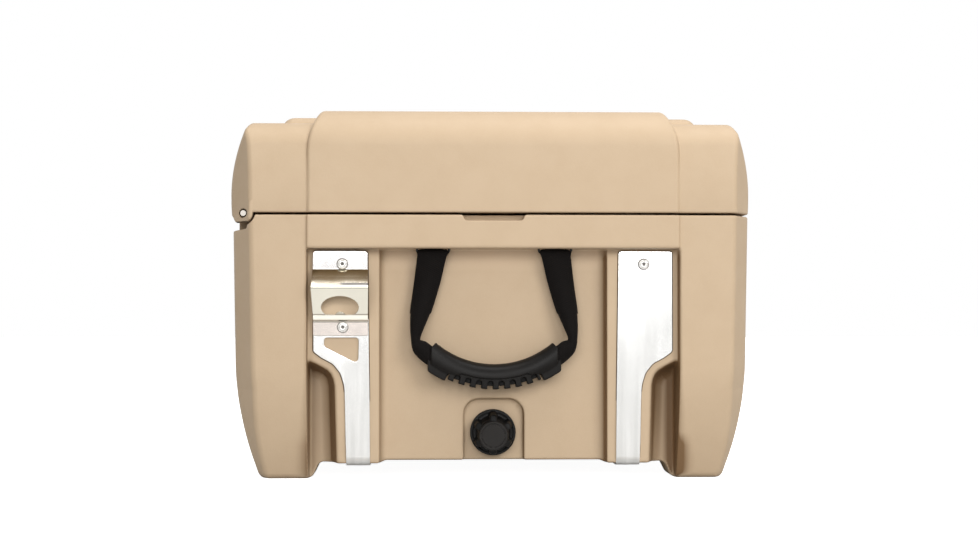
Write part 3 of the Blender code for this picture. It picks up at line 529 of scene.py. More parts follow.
# ----------------------------------------------------------------- materials
class Nodes:
    """Small helper around a material's node tree."""

    def __init__(self, name):
        self.material = bpy.data.materials.new(name)
        self.material.use_nodes = True
        self.tree = self.material.node_tree
        self.shader = self.tree.nodes["Principled BSDF"]
        self.place = self.tree.nodes.new("ShaderNodeTexCoord").outputs["Object"]

    def feed(self, socket, value):
        """Link an output into a socket, or set a number or an RGB colour there."""
        if isinstance(value, bpy.types.NodeSocket):
            self.tree.links.new(value, socket)
        else:
            socket.default_value = (*value, 1.0) if socket.type == "RGBA" else value

    def fill(self, node, inputs):
        for name, value in inputs.items():
            self.feed(node.inputs[name.replace("_", " ")], value)

    def add(self, kind, **inputs):
        node = self.tree.nodes.new(kind)
        self.fill(node, inputs)
        return node

    def stretch(self, scale):
        return self.add("ShaderNodeMapping", Scale=scale, Vector=self.place).outputs["Vector"]

    def noise(self, scale, detail=3.0, rough=0.5, vector=None):
        return self.add("ShaderNodeTexNoise", Scale=scale, Detail=detail, Roughness=rough,
                        Vector=vector or self.place).outputs["Fac"]

    def voronoi(self, scale):
        cells = self.add("ShaderNodeTexVoronoi", Scale=scale, Vector=self.place)
        return cells.outputs["Distance"]

    def attribute(self, name):
        node = self.add("ShaderNodeAttribute")
        node.attribute_name = name
        return node.outputs["Fac"]

    def xyz(self, vector):
        return self.add("ShaderNodeSeparateXYZ", Vector=vector).outputs

    def span(self, value, over, to=(0.0, 1.0)):
        """Map the range `over` of a value, clamped, on to the range `to`."""
        return self.add("ShaderNodeMapRange", From_Min=over[0], From_Max=over[1],
                        To_Min=to[0], To_Max=to[1], Value=value).outputs["Result"]

    def math(self, operation, a, b):
        node = self.add("ShaderNodeMath")
        node.operation = operation
        self.feed(node.inputs[0], a)
        self.feed(node.inputs[1], b)
        return node.outputs[0]

    def absolute(self, value):
        return self.math("ABSOLUTE", value, 0.0)

    def times(self, product, *factors):
        for factor in factors:
            product = self.math("MULTIPLY", product, factor)
        return product

    def window(self, value, rise, fall):
        """1 between the rise and the fall, 0 beyond them."""
        return self.times(self.span(value, over=rise), self.span(value, over=fall))

    def mix(self, factor, base, tint):
        node = self.add("ShaderNodeMix")
        node.data_type = "RGBA"
        self.fill(node, {"Factor": factor, "A": base, "B": tint})
        return node.outputs[2]

    def bumps(self, *layers):
        """Normal from stacked bumps (height, strength, distance)."""
        normal = None
        for height, strength, distance in layers:
            node = self.add("ShaderNodeBump", Strength=strength, Distance=distance,
                            Height=height)
            if normal is not None:
                self.feed(node.inputs["Normal"], normal)
            normal = node.outputs["Normal"]
        return normal

    def finish(self, **inputs):
        self.fill(self.shader, inputs)
        return self.material


def shell_painted_light(n, colour):
    """Painted shade in the shell's hollows and recesses, and painted light on panel tops and
    behind the opener's mouth.
    """
    cavity = n.attribute("cavity")
    x, y, z = n.xyz(n.place)
    face_x, face_y, _ = n.xyz(n.add("ShaderNodeNewGeometry").outputs["Normal"])
    # painted shade: side walls of the end recesses get more than the flat floors, walls facing
    # +y most
    wall = n.times(n.span(n.absolute(face_x), over=(0.98, 0.45)),
                   n.span(n.absolute(x), over=(0.318, 0.328)),
                   n.span(z, over=(0.2405, 0.232)),
                   n.span(face_y, over=(-0.1, 0.1), to=(0.62, 1.35)),
                   n.span(n.absolute(y), over=(0.200, 0.1965)))
    # painted shade from how enclosed the surface is, plus more on the recess walls
    painted_shade = n.math("ADD", n.span(cavity, over=(0.20, 0.88), to=(0.0, 0.60)), n.times(wall, 0.40))
    painted_shade = n.times(painted_shade, n.math("ADD", n.times(wall, 0.85), 1.0))
    # painted shade in the pockets of the drain end, darker at the front
    sides = n.math("ADD", n.span(y, over=(-0.157, -0.184)),
                   n.span(y, over=(0.140, 0.150), to=(0.0, 0.24)))
    pocket = n.times(sides, n.span(z, over=(0.172, 0.150)), n.span(x, over=(-0.3440, -0.3400)),
                     n.span(cavity, over=(0.1, 0.4)))
    # less painted shade in the low middle, round the drain
    low = n.times(n.span(n.absolute(y), over=(0.033, 0.029), to=(0.0, 0.75)),
                  n.span(z, over=(0.088, 0.082)))
    painted_shade = n.times(painted_shade, n.math("SUBTRACT", 1.0, low))
    # painted light: a pale strip along the top of the end panels, with less painted shade,
    # lifting the shadow under the rim
    strip = n.times(n.window(z, rise=(0.218, 0.238), fall=(0.2425, 0.2415)),
                    n.span(n.absolute(y), over=(0.118, 0.110)),
                    n.span(n.absolute(x), over=(0.340, 0.337)),
                    n.span(n.absolute(x), over=(0.327, 0.328)))
    painted_shade = n.times(painted_shade, n.math("SUBTRACT", 1.0, n.times(strip, 0.8)))
    colour = n.mix(n.times(strip, 0.8), colour, tint=(0.66, 0.50, 0.34))
    painted_shade = n.math("MINIMUM", n.math("ADD", painted_shade, n.times(pocket, 0.95)), 0.96)
    # the painted shade: dark brown mixed into the colour
    colour = n.mix(painted_shade, colour, tint=(0.150, 0.082, 0.034))
    # painted light: the shell behind the opener's mouth is painted pale
    mouth_light = n.times(n.span(x, over=(-0.336, -0.339)), n.span(z, over=(0.1700, 0.1716)),
                    n.span(z, over=(0.1950, 0.1930)),
                    n.span(n.absolute(n.math("ADD", y, -0.160)), over=(0.0215, 0.0195)))
    return n.mix(n.times(mouth_light, 0.62), colour, tint=(0.80, 0.62, 0.42))


def sand():
    n = Nodes("sand_polyethylene")
    clouds = n.noise(scale=5.0, detail=3.0, rough=0.55)
    mottle = n.noise(scale=38.0, detail=4.0, rough=0.6)
    grain = n.noise(scale=1500.0, detail=2.0)
    colour = n.mix(n.span(clouds, over=(0.35, 0.65)), (0.468, 0.349, 0.229),
                   tint=(0.488, 0.366, 0.243))
    colour = n.mix(n.span(mottle, over=(0.42, 0.75), to=(0.0, 0.35)), colour,
                   tint=(0.442, 0.326, 0.211))
    colour = n.mix(n.span(grain, over=(0.35, 0.7), to=(0.0, 0.22)), colour,
                   tint=(0.545, 0.418, 0.288))
    colour = shell_painted_light(n, colour)
    peel = n.noise(scale=330.0, detail=3.0, rough=0.55)
    wave = n.noise(scale=16.0, detail=2.0)
    normal = n.bumps((wave, 0.10, 0.006), (peel, 0.13, 0.0007),
                     (n.voronoi(820.0), 0.10, 0.00028), (grain, 0.10, 0.0002))
    return n.finish(Base_Color=colour, Normal=normal, Specular_IOR_Level=0.28,
                    Roughness=n.span(mottle, over=(0.3, 0.7), to=(0.50, 0.60)))


def plate_low_reflection(n, colour):
    """Painted dimmer reflection: the metal darker toward the ground, in soft upright streaks."""
    z = n.xyz(n.place)[2]
    streak = n.noise(scale=3.0, rough=0.6, vector=n.stretch((10, 34, 1.6)))
    low = n.times(n.span(z, over=(0.205, 0.085)),
                  n.span(streak, over=(0.30, 0.62), to=(0.55, 1.0)))
    return n.mix(low, colour, tint=(0.55, 0.545, 0.53))


def opener_painted_reflections(n, colour):
    """Painted reflections and shade up the opener: warm and dark bands where its bends reflect
    the ground and the room, tones on the flanges and the tongue, and dark lines of painted
    shadow along its bends and edges.
    """
    _, y, z = n.xyz(n.place)
    # painted reflection: warm band up the upper slope
    slope = n.times(n.window(z, rise=(0.2068, 0.2085), fall=(0.2200, 0.2195)),
                    n.span(z, over=(0.2070, 0.2180), to=(0.15, 0.85)))
    colour = n.mix(slope, colour, tint=(0.44, 0.375, 0.255))
    # painted reflection: dark streak near the front bend
    dark = n.times(n.window(z, rise=(0.2028, 0.2033), fall=(0.2060, 0.2055)),
                   n.span(y, over=(0.163, 0.157)), 0.9)
    colour = n.mix(dark, colour, tint=(0.17, 0.175, 0.18))
    colour = n.mix(n.span(z, over=(0.2195, 0.2205)), colour, tint=(0.70, 0.675, 0.66))
    colour = n.mix(n.span(z, over=(0.1660, 0.1650)), colour, tint=(0.86, 0.775, 0.715))
    # painted shadow: dark lines along the opener's bends and edges
    edge_shade = n.window(z, rise=(0.1640, 0.1648), fall=(0.1664, 0.1657))
    for lip in (n.window(z, rise=(0.1718, 0.1724), fall=(0.1738, 0.1731)),
                n.window(z, rise=(0.1996, 0.2001), fall=(0.2012, 0.2008)),
                n.span(z, over=(0.1514, 0.1508))):
        edge_shade = n.math("MAXIMUM", edge_shade, lip)
    tongue = n.times(n.window(z, rise=(0.1724, 0.1730), fall=(0.1775, 0.1765)),
                     n.span(n.absolute(n.math("ADD", y, -0.160)), over=(0.0072, 0.0064)), 0.7)
    colour = n.mix(tongue, colour, tint=(0.40, 0.36, 0.28))
    return n.mix(n.times(edge_shade, 0.75), colour, tint=(0.24, 0.21, 0.17))


def steel(name, base, rough, brush, scratch, tint=None):
    """Brushed steel; brush is the scale of the scratches along x, y and z."""
    n = Nodes(name)
    fine = n.noise(scale=6.0, detail=4.0, rough=0.65, vector=n.stretch(brush))
    cloud = n.noise(scale=22.0)
    gloss = n.math("ADD", n.span(fine, over=(0.3, 0.7), to=(rough - 0.05, rough + 0.06)),
                   n.span(cloud, over=(0.35, 0.7), to=(0.0, 0.05)))
    colour = n.mix(n.span(cloud, over=(0.3, 0.75)), base, tint=tuple(k * 0.95 for k in base))
    if tint:
        colour = tint(n, colour)
    normal = n.bumps((fine, scratch * 0.12, 0.00018),
                     (n.noise(scale=9.0, detail=1.0, rough=0.4), 0.05, 0.002))
    return n.finish(Base_Color=colour, Roughness=gloss, Normal=normal, Metallic=1.0)


def cap_plastic():
    """Black plastic, greyer on the cap's outer disc."""
    n = Nodes("drain_plastic")
    face = n.span(n.xyz(n.place)[0], over=(-0.3493, -0.3500))
    mottle = n.noise(scale=40.0)
    colour = n.mix(face, (0.0026, 0.0024, 0.0022), tint=(0.0150, 0.0134, 0.0122))
    colour = n.mix(n.span(mottle, over=(0.4, 0.8), to=(0.0, 0.25)), colour,
                   tint=(0.026, 0.024, 0.022))
    return n.finish(Base_Color=colour, Specular_IOR_Level=0.14,
                    Roughness=n.span(face, over=(0.0, 1.0), to=(0.40, 0.60)),
                    Normal=n.bumps((n.noise(scale=1100.0, rough=0.6), 0.3, 0.0002)))


def plastic(name, base, rough, grain=700.0, strength=0.18, spec=0.4):
    n = Nodes(name)
    fine = n.noise(scale=grain, rough=0.6)
    mottle = n.noise(scale=30.0)
    colour = n.mix(n.span(mottle, over=(0.35, 0.7)), base,
                   tint=tuple(k * 1.35 + 0.002 for k in base))
    gloss = n.span(mottle, over=(0.3, 0.7), to=(rough - 0.05, rough + 0.06))
    return n.finish(Base_Color=colour, Roughness=gloss, Specular_IOR_Level=spec,
                    Normal=n.bumps((fine, strength, 0.0002)))


def webbing():
    """Black fibres, with painted highlight on the crowns of the weave."""
    n = Nodes("black_webbing")
    fibre = n.noise(scale=2600.0, rough=0.6, vector=n.stretch((1.0, 1.0, 0.35)))
    tone = n.noise(scale=60.0, rough=0.6)
    colour = n.mix(n.span(tone, over=(0.35, 0.7)), (0.0022, 0.0016, 0.0014),
                   tint=(0.0036, 0.0027, 0.0024))
    # painted highlight on the raised crowns of the weave
    crown_highlight = n.span(n.attribute("weave"), over=(-0.2, 1.0), to=(0.0, 0.85))
    colour = n.mix(crown_highlight, colour, tint=(0.0105, 0.0085, 0.0076))
    colour = n.mix(n.span(fibre, over=(0.5, 0.8), to=(0.0, 0.3)), colour,
                   tint=(0.008, 0.0065, 0.0058))
    return n.finish(Base_Color=colour, Roughness=0.80, Normal=n.bumps((fibre, 0.5, 0.00015)),
                    Sheen_Weight=0.02, Sheen_Roughness=0.5, Specular_IOR_Level=0.08)


def rubber(name, base, rough):
    n = Nodes(name)
    fine = n.noise(scale=420.0, detail=4.0, rough=0.6)
    mottle = n.noise(scale=24.0, detail=4.0, rough=0.6)
    colour = n.mix(n.span(mottle, over=(0.35, 0.7)), base,
                   tint=tuple(k * 1.5 + 0.003 for k in base))
    gloss = n.span(mottle, over=(0.3, 0.7), to=(rough - 0.06, rough + 0.08))
    return n.finish(Base_Color=colour, Roughness=gloss, Specular_IOR_Level=0.4,
                    Normal=n.bumps((fine, 0.2, 0.0003)))


def foam():
    n = Nodes("insulation_foam")
    mottle = n.noise(scale=40.0, detail=4.0, rough=0.6)
    colour = n.mix(n.span(mottle, over=(0.3, 0.7)), (0.80, 0.74, 0.52), tint=(0.86, 0.81, 0.62))
    return n.finish(Base_Color=colour, Roughness=0.9,
                    Normal=n.bumps((n.voronoi(600.0), 0.5, 0.0008)))


SAND = sand()
PLATE = steel("plate_steel", (0.86, 0.855, 0.84), rough=0.17, brush=(60, 60, 900), scratch=0.35,
              tint=plate_low_reflection)
OPENER = steel("opener_steel", (0.74, 0.715, 0.625), rough=0.11, brush=(60, 900, 60),
               scratch=0.35, tint=opener_painted_reflections)
FASTENER = steel("fastener_steel", (0.58, 0.565, 0.54), rough=0.22, brush=(300, 300, 300),
                 scratch=0.2)
GRIP = plastic("grip_plastic", (0.0046, 0.0038, 0.0032), rough=0.38, grain=900.0,
               strength=0.25, spec=0.12)
CAP = cap_plastic()
# dark grey for painted shade in the screws' sockets, grooves and head skirts
SOCKET = plastic("socket_shadow", (0.20, 0.19, 0.175), rough=0.5, grain=900.0,
                 strength=0.1, spec=0.3)
ROD = steel("rod_steel", (0.30, 0.28, 0.255), rough=0.34, brush=(300, 300, 300), scratch=0.2)
WEBBING = webbing()
LATCH = rubber("latch_rubber", (0.016, 0.0155, 0.015), rough=0.55)
# dark brown for the painted shadow lines round the plates
SHADOW_LINE_DARK = plastic("shadow_line_strip", (0.075, 0.052, 0.030), rough=0.7, strength=0.2, spec=0.2)
SEAL = rubber("seal_rubber", (0.075, 0.072, 0.068), rough=0.65)
FOAM = foam()
LOOP = plastic("loop_black_coat", (0.012, 0.0115, 0.011), rough=0.45)

for name, mesh_name, field, grid, body, node in (
        ("cooler_shell", "body_shell_looks", body_field, BODY_GRID, "cooler_body", "body_shell"),
        ("lid_moulding", "lid_shell_looks", lid_field, LID_GRID, "lid", "lid_shell")):
    me = surface_net(mesh_name, field, grid, limit=1.5, reach=0.12, cavity=True)
    place(name, me, SAND, body, "sand_shell", node)

# ---------------------------------------------------------- steel end plates
SHEET_HALF = 1.0   # half the thickness of the plates and the opener
PLATE_X = 345.3    # middle of a plate's upright sheet
# face outline (|y|, z, corner radius)
PLATE_FACE = fillet([(131.8, 239.4, 3.0), (129.4, 83, 0), (128.6, -10, 0), (153.4, -10, 0),
                     (156, 98, 40), (160.2, 111.5, 14), (168, 121.2, 14), (180.0, 127.6, 9),
                     (188.6, 134.0, 5), (188.6, 239.4, 3.0)], 6)
# bend seen from the side (|x|, z, corner radius)
PLATE_SIDE = fillet([(PLATE_X, 240.5, 0), (PLATE_X, 15.7, 8.5), (306.0, 15.7, 0)], 10, False)
# slot in the rear plate of the drain end (|y|, z, corner radius)
PLATE_SLOT = fillet([(141.0, 148.6, 3.4), (177.0, 148.6, 3.2), (177.0, 139.4, 3.6),
                     (141.6, 121.4, 3.6)], 6)


def plate_field(sign_x, sign_y, slotted):
    def field(x, y, z):
        out_x, out_y = x * sign_x, y * sign_y
        sheet = band(out_x, z, PLATE_SIDE) - SHEET_HALF
        face = meet(polygon(out_y, z, PLATE_FACE), 306.0 - out_x, 2.0)
        if slotted:
            face = np.maximum(np.maximum(face, -polygon(out_y, z, PLATE_SLOT)), z - 168.5)
        return meet(sheet, face, 0.45)
    return field


def plate_grid(sign_x, sign_y):
    xs = lines(303.0, 348.5, 1.3, [(343.5, 347.0, 0.5)], 0.2)
    ys = lines(126.0, 191.5, 1.15, [(127, 133, 0.8), (186, 191, 0.8)], 0.2)
    z_bands = [(13.5, 18.0, 0.5), (97, 151, 0.95), (236, 241, 0.8)]
    return on_side(xs, sign_x), on_side(ys, sign_y), lines(12.0, 242.0, 1.6, z_bands, 0.2)


def shadow_line_strip(name, sign_x, sign_y):
    """Dark strip under a plate's edge: painted shadow, the dark line round the plate."""
    front, thick, spread, tuck, lowest = BOSS_X + 0.25, 1.2, 0.85, -2.0, 16.0
    points = np.array([p for p in PLATE_FACE if p[1] > lowest], float)
    edges = np.roll(points, -1, 0) - points
    edges /= np.maximum(np.linalg.norm(edges, axis=1), 1e-9)[:, None]
    normals = np.stack([edges[:, 1], -edges[:, 0]], 1)
    out = normals + np.roll(normals, 1, 0)
    out /= np.maximum(np.linalg.norm(out, axis=1), 1e-9)[:, None]
    verts = []
    for offset, x in ((spread, front), (spread, front - thick),
                      (tuck, front - thick), (tuck, front)):
        verts += [(x * sign_x * MM, y * sign_y * MM, z * MM) for y, z in points + out * offset]
    me = bpy.data.meshes.new(name)
    me.from_pydata(verts, [], ring_faces(4, len(points), closed=True).tolist())
    return face_outward(me)


for corner, sign_x, sign_y in CORNERS:
    node = f"skid_plate_{corner}"
    me = surface_net(node + "_looks", plate_field(sign_x, sign_y, corner == "rear_drain"),
                     plate_grid(sign_x, sign_y))
    place(node + "_pressed", me, PLATE, "cooler_body", "plate_steel", node)
for corner, sign_x, sign_y in CORNERS:
    # dark strips under the plates' edges: painted shadow lines
    name = f"plate_pad_{corner}"
    place(name, shadow_line_strip(name, sign_x, sign_y), SHADOW_LINE_DARK, "cooler_body", "seal")

# ------------------------------------------------------------- bottle opener
# bent strip seen from the side (-x, z, corner radius)
OPENER_SIDE = fillet([(347.7, 239.0, 0), (347.7, 219.8, 1.4), (355.8, 211.2, 20.0),
                      (366.0, 201.5, 1.3), (351.0, 172.4, 0.6), (350.7, 168.0, 0.5),
                      (347.7, 166.6, 0.5), (347.7, 151.0, 0)], 6, False)
# face outline (y, z, corner radius)
OPENER_FACE = fillet([(131.6, 239.6, 4.2), (131.6, 220, 0), (130.6, 201, 0), (131.2, 172, 0),
                      (131.2, 150.6, 1.5), (188.6, 150.6, 1.5), (188.8, 172, 0),
                      (190.4, 201, 0), (189.2, 220, 0), (189.0, 239.6, 4.2)], 7)


def opener_field(x, y, z):
    """One bent strip with a bean-shaped mouth and a tongue in it."""
    sheet = band(-x, z, OPENER_SIDE) - SHEET_HALF
    mouth = (radius((y - 160.3) / 19.4, (z - 180.2) / 11.6) - 1.0) * 11.5
    mouth = meet(mouth, 172.9 - z, 0.5)
    mouth = carve(mouth, radius(y - 160.0, z - 169.6) - 6.3, 0.5)
    return meet(sheet, np.maximum(polygon(y, z, OPENER_FACE), -mouth), 0.5)


opener_z = lines(148.0, 242.0, 0.9, [(164, 194, 0.5), (198, 204, 0.5), (217, 222, 0.5)])
me = surface_net("opener_looks", opener_field,
                 (on_side(lines(344.0, 370.0, 0.5), -1), lines(127.5, 193.5, 0.7), opener_z))
place("bottle_opener_pressed", me, OPENER, "cooler_body", "plate_steel", "bottle_opener")

# ------------------------------------------------------- button head screws
SCREW_Y = 158.2
SCREW_SEG = 48
HEAD_H, SHANK_R, SHANK_LEN, SOCKET_R = 2.7, 2.9, 12.0, 1.6
# turned head (radius, height)
HEAD = [(6.05, 0.0), (6.05, 0.5), (5.5, 0.55), (5.5, 1.1), (5.25, 1.6), (4.8, 2.0),
        (4.3, 2.16), (4.1, 2.02), (3.8, 2.02), (3.6, 2.2), (3.2, HEAD_H - 0.05), (2.7, HEAD_H)]
# these faces take the socket_shadow material: painted shade in the head's skirt, its groove and
# the socket
DARK_RINGS = (2, 3, 8, 15, 16)  # bands of faces in the skirt, the groove and the socket


def hexagon(angle):
    """Radius of the hexagonal socket at an angle."""
    return SOCKET_R / math.cos(((angle + math.pi / 6) % (math.pi / 3)) - math.pi / 6)


def steel_screw(node, spot, axis, ref, flat=1.0):
    """Screw with its head's foot at spot; ref turns the socket, flat scales the head."""
    rings = [(lambda a: SHANK_R, -SHANK_LEN), (lambda a: SHANK_R, 0.0)]
    rings += [(lambda a, r=r: r, height) for r, height in HEAD]
    rings += [(lambda a: hexagon(a) + 0.16, HEAD_H), (hexagon, HEAD_H - 0.16),
              (hexagon, HEAD_H - 1.7), (lambda a: 0.45 * SOCKET_R, HEAD_H - 2.0)]
    out = Vector(axis).normalized()
    across = Vector(ref).normalized()
    other = out.cross(across)
    verts = []
    for ring_radius, height in rings:
        if height > 0:
            height *= flat
        for k in range(SCREW_SEG):
            angle = 2 * math.pi * k / SCREW_SEG
            r = ring_radius(angle)
            verts.append(tuple((Vector(spot) + across * (r * math.cos(angle))
                                + other * (r * math.sin(angle)) + out * height) * MM))
    faces = ring_faces(len(rings), SCREW_SEG).tolist()
    sides = len(faces)
    faces.append(list(range(SCREW_SEG))[::-1])
    faces.append([len(verts) - SCREW_SEG + k for k in range(SCREW_SEG)])
    me = bpy.data.meshes.new(node + "_looks")
    me.from_pydata(verts, [], faces)
    me.update()
    me.polygons.foreach_set("use_smooth", [True] * sides + [False] * 2)
    place(node + "_turned", me, FASTENER, "cooler_body", "fastener_steel", node)
    me.materials.append(SOCKET)
    dark = [int(i // SCREW_SEG in DARK_RINGS) for i in range(sides)]
    me.polygons.foreach_set("material_index", dark + [0, 1])


for corner, sign_x, sign_y in CORNERS:
    head_x = 349.0 if corner == "rear_drain" else 346.4  # the opener lies over that plate
    steel_screw(f"plate_screw_{corner}_upper", (sign_x * head_x, sign_y * SCREW_Y, 225.7),
                axis=(sign_x, 0, 0), ref=(0, 1, 0.3))
    steel_screw(f"foot_screw_{corner}", (sign_x * 322, sign_y * 141, 14.6),
                axis=(0, 0, -1), ref=(1, 0.2, 0), flat=0.35)
steel_screw("plate_screw_rear_drain_lower", (-349.0, 157.6, 159.6),
            axis=(-1, 0, 0), ref=(0, 1, -0.4))

# --------------------------------------------------------------- end handles
STRAP_WIDTH, STRAP_THICK = 31.6, 2.4
STRAP_Y = 64.2     # strap and wire loop, either side of the handle's middle
WEAVE_HEIGHT = 0.22
# front run of the webbing: outer edge (|y|, z), inner edge (|y|, z), front |x|
FRONT_RUN = [
    ((81.4, 238.4), (46.9, 238.4), 345.4),
    ((80.8, 234.6), (49.4, 234.6), 345.35),
    ((81.4, 230.2), (50.8, 230.2), 345.3),
    ((82.5, 219.7), (53.4, 219.7), 345.4),
    ((83.6, 209.2), (56.0, 209.2), 345.9),
    ((84.8, 198.7), (59.1, 198.7), 346.6),
    ((86.1, 188.2), (62.4, 188.2), 347.6),
    ((87.3, 177.7), (66.0, 177.7), 348.9),
    ((87.9, 167.2), (70.2, 167.2), 350.1),
    ((87.8, 156.7), (74.3, 157.4), 351.2),
    ((87.1, 147.3), (77.2, 149.6), 351.9),
    ((86.3, 139.8), (77.4, 146.2), 352.4),
    ((84.1, 133.2), (75.2, 145.4), 353.0),
    ((79.8, 128.0), (71.6, 144.2), 353.6),
    ((74.9, 123.6), (67.9, 141.5), 354.2),
    ((69.6, 119.8), (63.4, 138.0), 354.4),
    ((63.0, 115.6), (57.6, 133.6), 354.4),
]
# back leg (|x|, z), and its edges |y| at four heights
BACK_LEG = ((341.2, 221.0), (340.9, 223.0), (340.2, 226.0), (338.9, 230.0), (337.8, 233.5),
            (337.4, 236.0))
LEG_Z, LEG_OUTER, LEG_INNER = ([209.2, 219.7, 230.2, 238.6], [83.6, 82.5, 81.4, 80.1],
                               [56, 53.4, 50.8, 48.6])


def smooth_rows(rows, count):
    """Catmull-Rom through the rows, evenly spaced along the first three columns."""
    rows = np.asarray(rows, float)
    knots = np.vstack([2 * rows[0] - rows[1], rows, 2 * rows[-1] - rows[-2]])
    out = []
    for i in range(1, len(knots) - 2):
        p0, p1, p2, p3 = knots[i - 1:i + 3]
        for t in np.linspace(0, 1, 24, endpoint=False):
            out.append(0.5 * ((2 * p1) + (-p0 + p2) * t
                              + (2 * p0 - 5 * p1 + 4 * p2 - p3) * t * t
                              + (-p0 + 3 * p1 - 3 * p2 + p3) * t ** 3))
    out.append(knots[-2])
    out = np.array(out)
    lengths = np.r_[0, np.cumsum(np.linalg.norm(np.diff(out[:, :3], axis=0), axis=1))]
    along = np.linspace(0, lengths[-1], count)
    return np.stack([np.interp(along, lengths, column) for column in out.T], 1), along


def weave(across, along):
    """Height of the webbing's surface."""
    rib = np.sin(2 * np.pi * across / 4.2)
    rows = np.cos(2 * np.pi * (along / 2.05 + 0.5 * (rib > 0)))
    return (WEAVE_HEIGHT * rows * np.abs(rib) ** 0.45
            + 0.04 * np.cos(2 * np.pi * across / 1.05))


def strap_stations():
    """Rows (x, y, z, width, width direction y and z, facing direction x and z)."""
    rows = []
    for x, z in BACK_LEG:
        outer, inner = np.interp(z, LEG_Z, LEG_OUTER), np.interp(z, LEG_Z, LEG_INNER)
        rows.append([x, (outer + inner) / 2, z, outer - inner - 3.4, 1.0, 0.0, -1.0, 0.0])
    for k in range(1, 9):  # over the wire loop
        angle = math.pi * (1 - k / 9)
        cos, sin = math.cos(angle), math.sin(angle)
        rows.append([340.9 + 3.5 * cos, STRAP_Y, 236.5 + 4.3 * sin ** 0.8,
                     31.0 + (2.6 if k > 6 else 0.0), 1.0, 0.0, cos, sin])
    for (y0, z0), (y1, z1), front in FRONT_RUN:
        width = math.hypot(y0 - y1, z0 - z1)
        rows.append([front - STRAP_THICK / 2, (y0 + y1) / 2, (z0 + z1) / 2, width,
                     (y0 - y1) / width, (z0 - z1) / width, 1.0, 0.0])
    return rows


def curl(width, face_x):
    """Half angle and radius of the arc that narrows the webbing to a width."""
    if width < 2 * STRAP_WIDTH / math.pi:
        r = width / 2 - 1.0
        return min(STRAP_WIDTH / (2 * r), 2.55), r
    target = min(0.9995, width / STRAP_WIDTH)
    low, high = 0.01, math.pi / 2
    for _ in range(30):
        mid = (low + high) / 2
        if math.sin(mid) / mid > target:
            low = mid
        else:
            high = mid
    turn = min(max((face_x + 0.2) / 1.2, 0.0), 1.0)  # the back leg stays nearly flat
    half = 0.10 + (low - 0.10) * turn * turn * (3 - 2 * turn)
    return half, width / (2 * math.sin(half))


def strap_faces(count, across):
    front, back = np.arange(2 * count * across).reshape(2, count, across)
    quads = [(front[:-1, :-1], front[:-1, 1:], front[1:, 1:], front[1:, :-1]),
             (back[:-1, :-1], back[1:, :-1], back[1:, 1:], back[:-1, 1:])]
    for a, b in ((front.T, back.T), (front, back)):  # long edges, then the two ends
        quads.append((a[0, :-1], a[0, 1:], b[0, 1:], b[0, :-1]))
        quads.append((b[-1, :-1], b[-1, 1:], a[-1, 1:], a[-1, :-1]))
    return np.concatenate([np.stack(quad, -1).reshape(-1, 4) for quad in quads])


def strap_mesh(name, sign_x, sign_y):
    rows, along = smooth_rows(strap_stations(), 330)
    across = 56
    part = np.linspace(-1, 1, across)
    edge = np.sqrt(np.clip(1 - np.abs(part) ** 26, 0, 1))  # thins the webbing's edges
    points, crowns = [], []
    for side in (1, -1):
        for row, distance in zip(rows, along):
            x, mid_y, mid_z, width, wide_y, wide_z, face_x, face_z = row
            size = math.hypot(wide_y, wide_z)
            wide_y, wide_z = wide_y / size, wide_z / size
            size = math.hypot(face_x, face_z) or 1.0
            face_x, face_z = face_x / size, face_z / size
            half, r = curl(width, face_x)
            angle = part * half
            relief = weave(part * STRAP_WIDTH / 2, distance + (1.0 if side < 0 else 0.0)) * edge
            crowns.append(relief / WEAVE_HEIGHT)
            reach = r + (side * STRAP_THICK / 2 * edge + side * relief)
            offset = reach * np.sin(angle)
            depth = -(r - reach * np.cos(angle))
            points.append(np.stack([x + depth * face_x, mid_y + offset * wide_y,
                                    mid_z + offset * wide_z + depth * face_z], 1))
    points = np.concatenate(points)
    points[:, 0] *= sign_x
    points[:, 1] = sign_y * points[:, 1] + HANDLE_Y
    faces = strap_faces(len(rows), across)
    if sign_x * sign_y > 0:
        faces = faces[:, ::-1]
    me = array_mesh(name, points, faces)
    float_attribute(me, "weave", np.array(crowns, np.float32).ravel())
    face_outward(me).shade_smooth()
    return me


GRIP_X, GRIP_Z = 344.5, 215.5  # centre of the arc the grip follows
GRIP_ARC = 105.9
NOTCH_PITCH, NOTCH_TURN = 5.83, -0.75  # degrees between the finger notches, and their shift


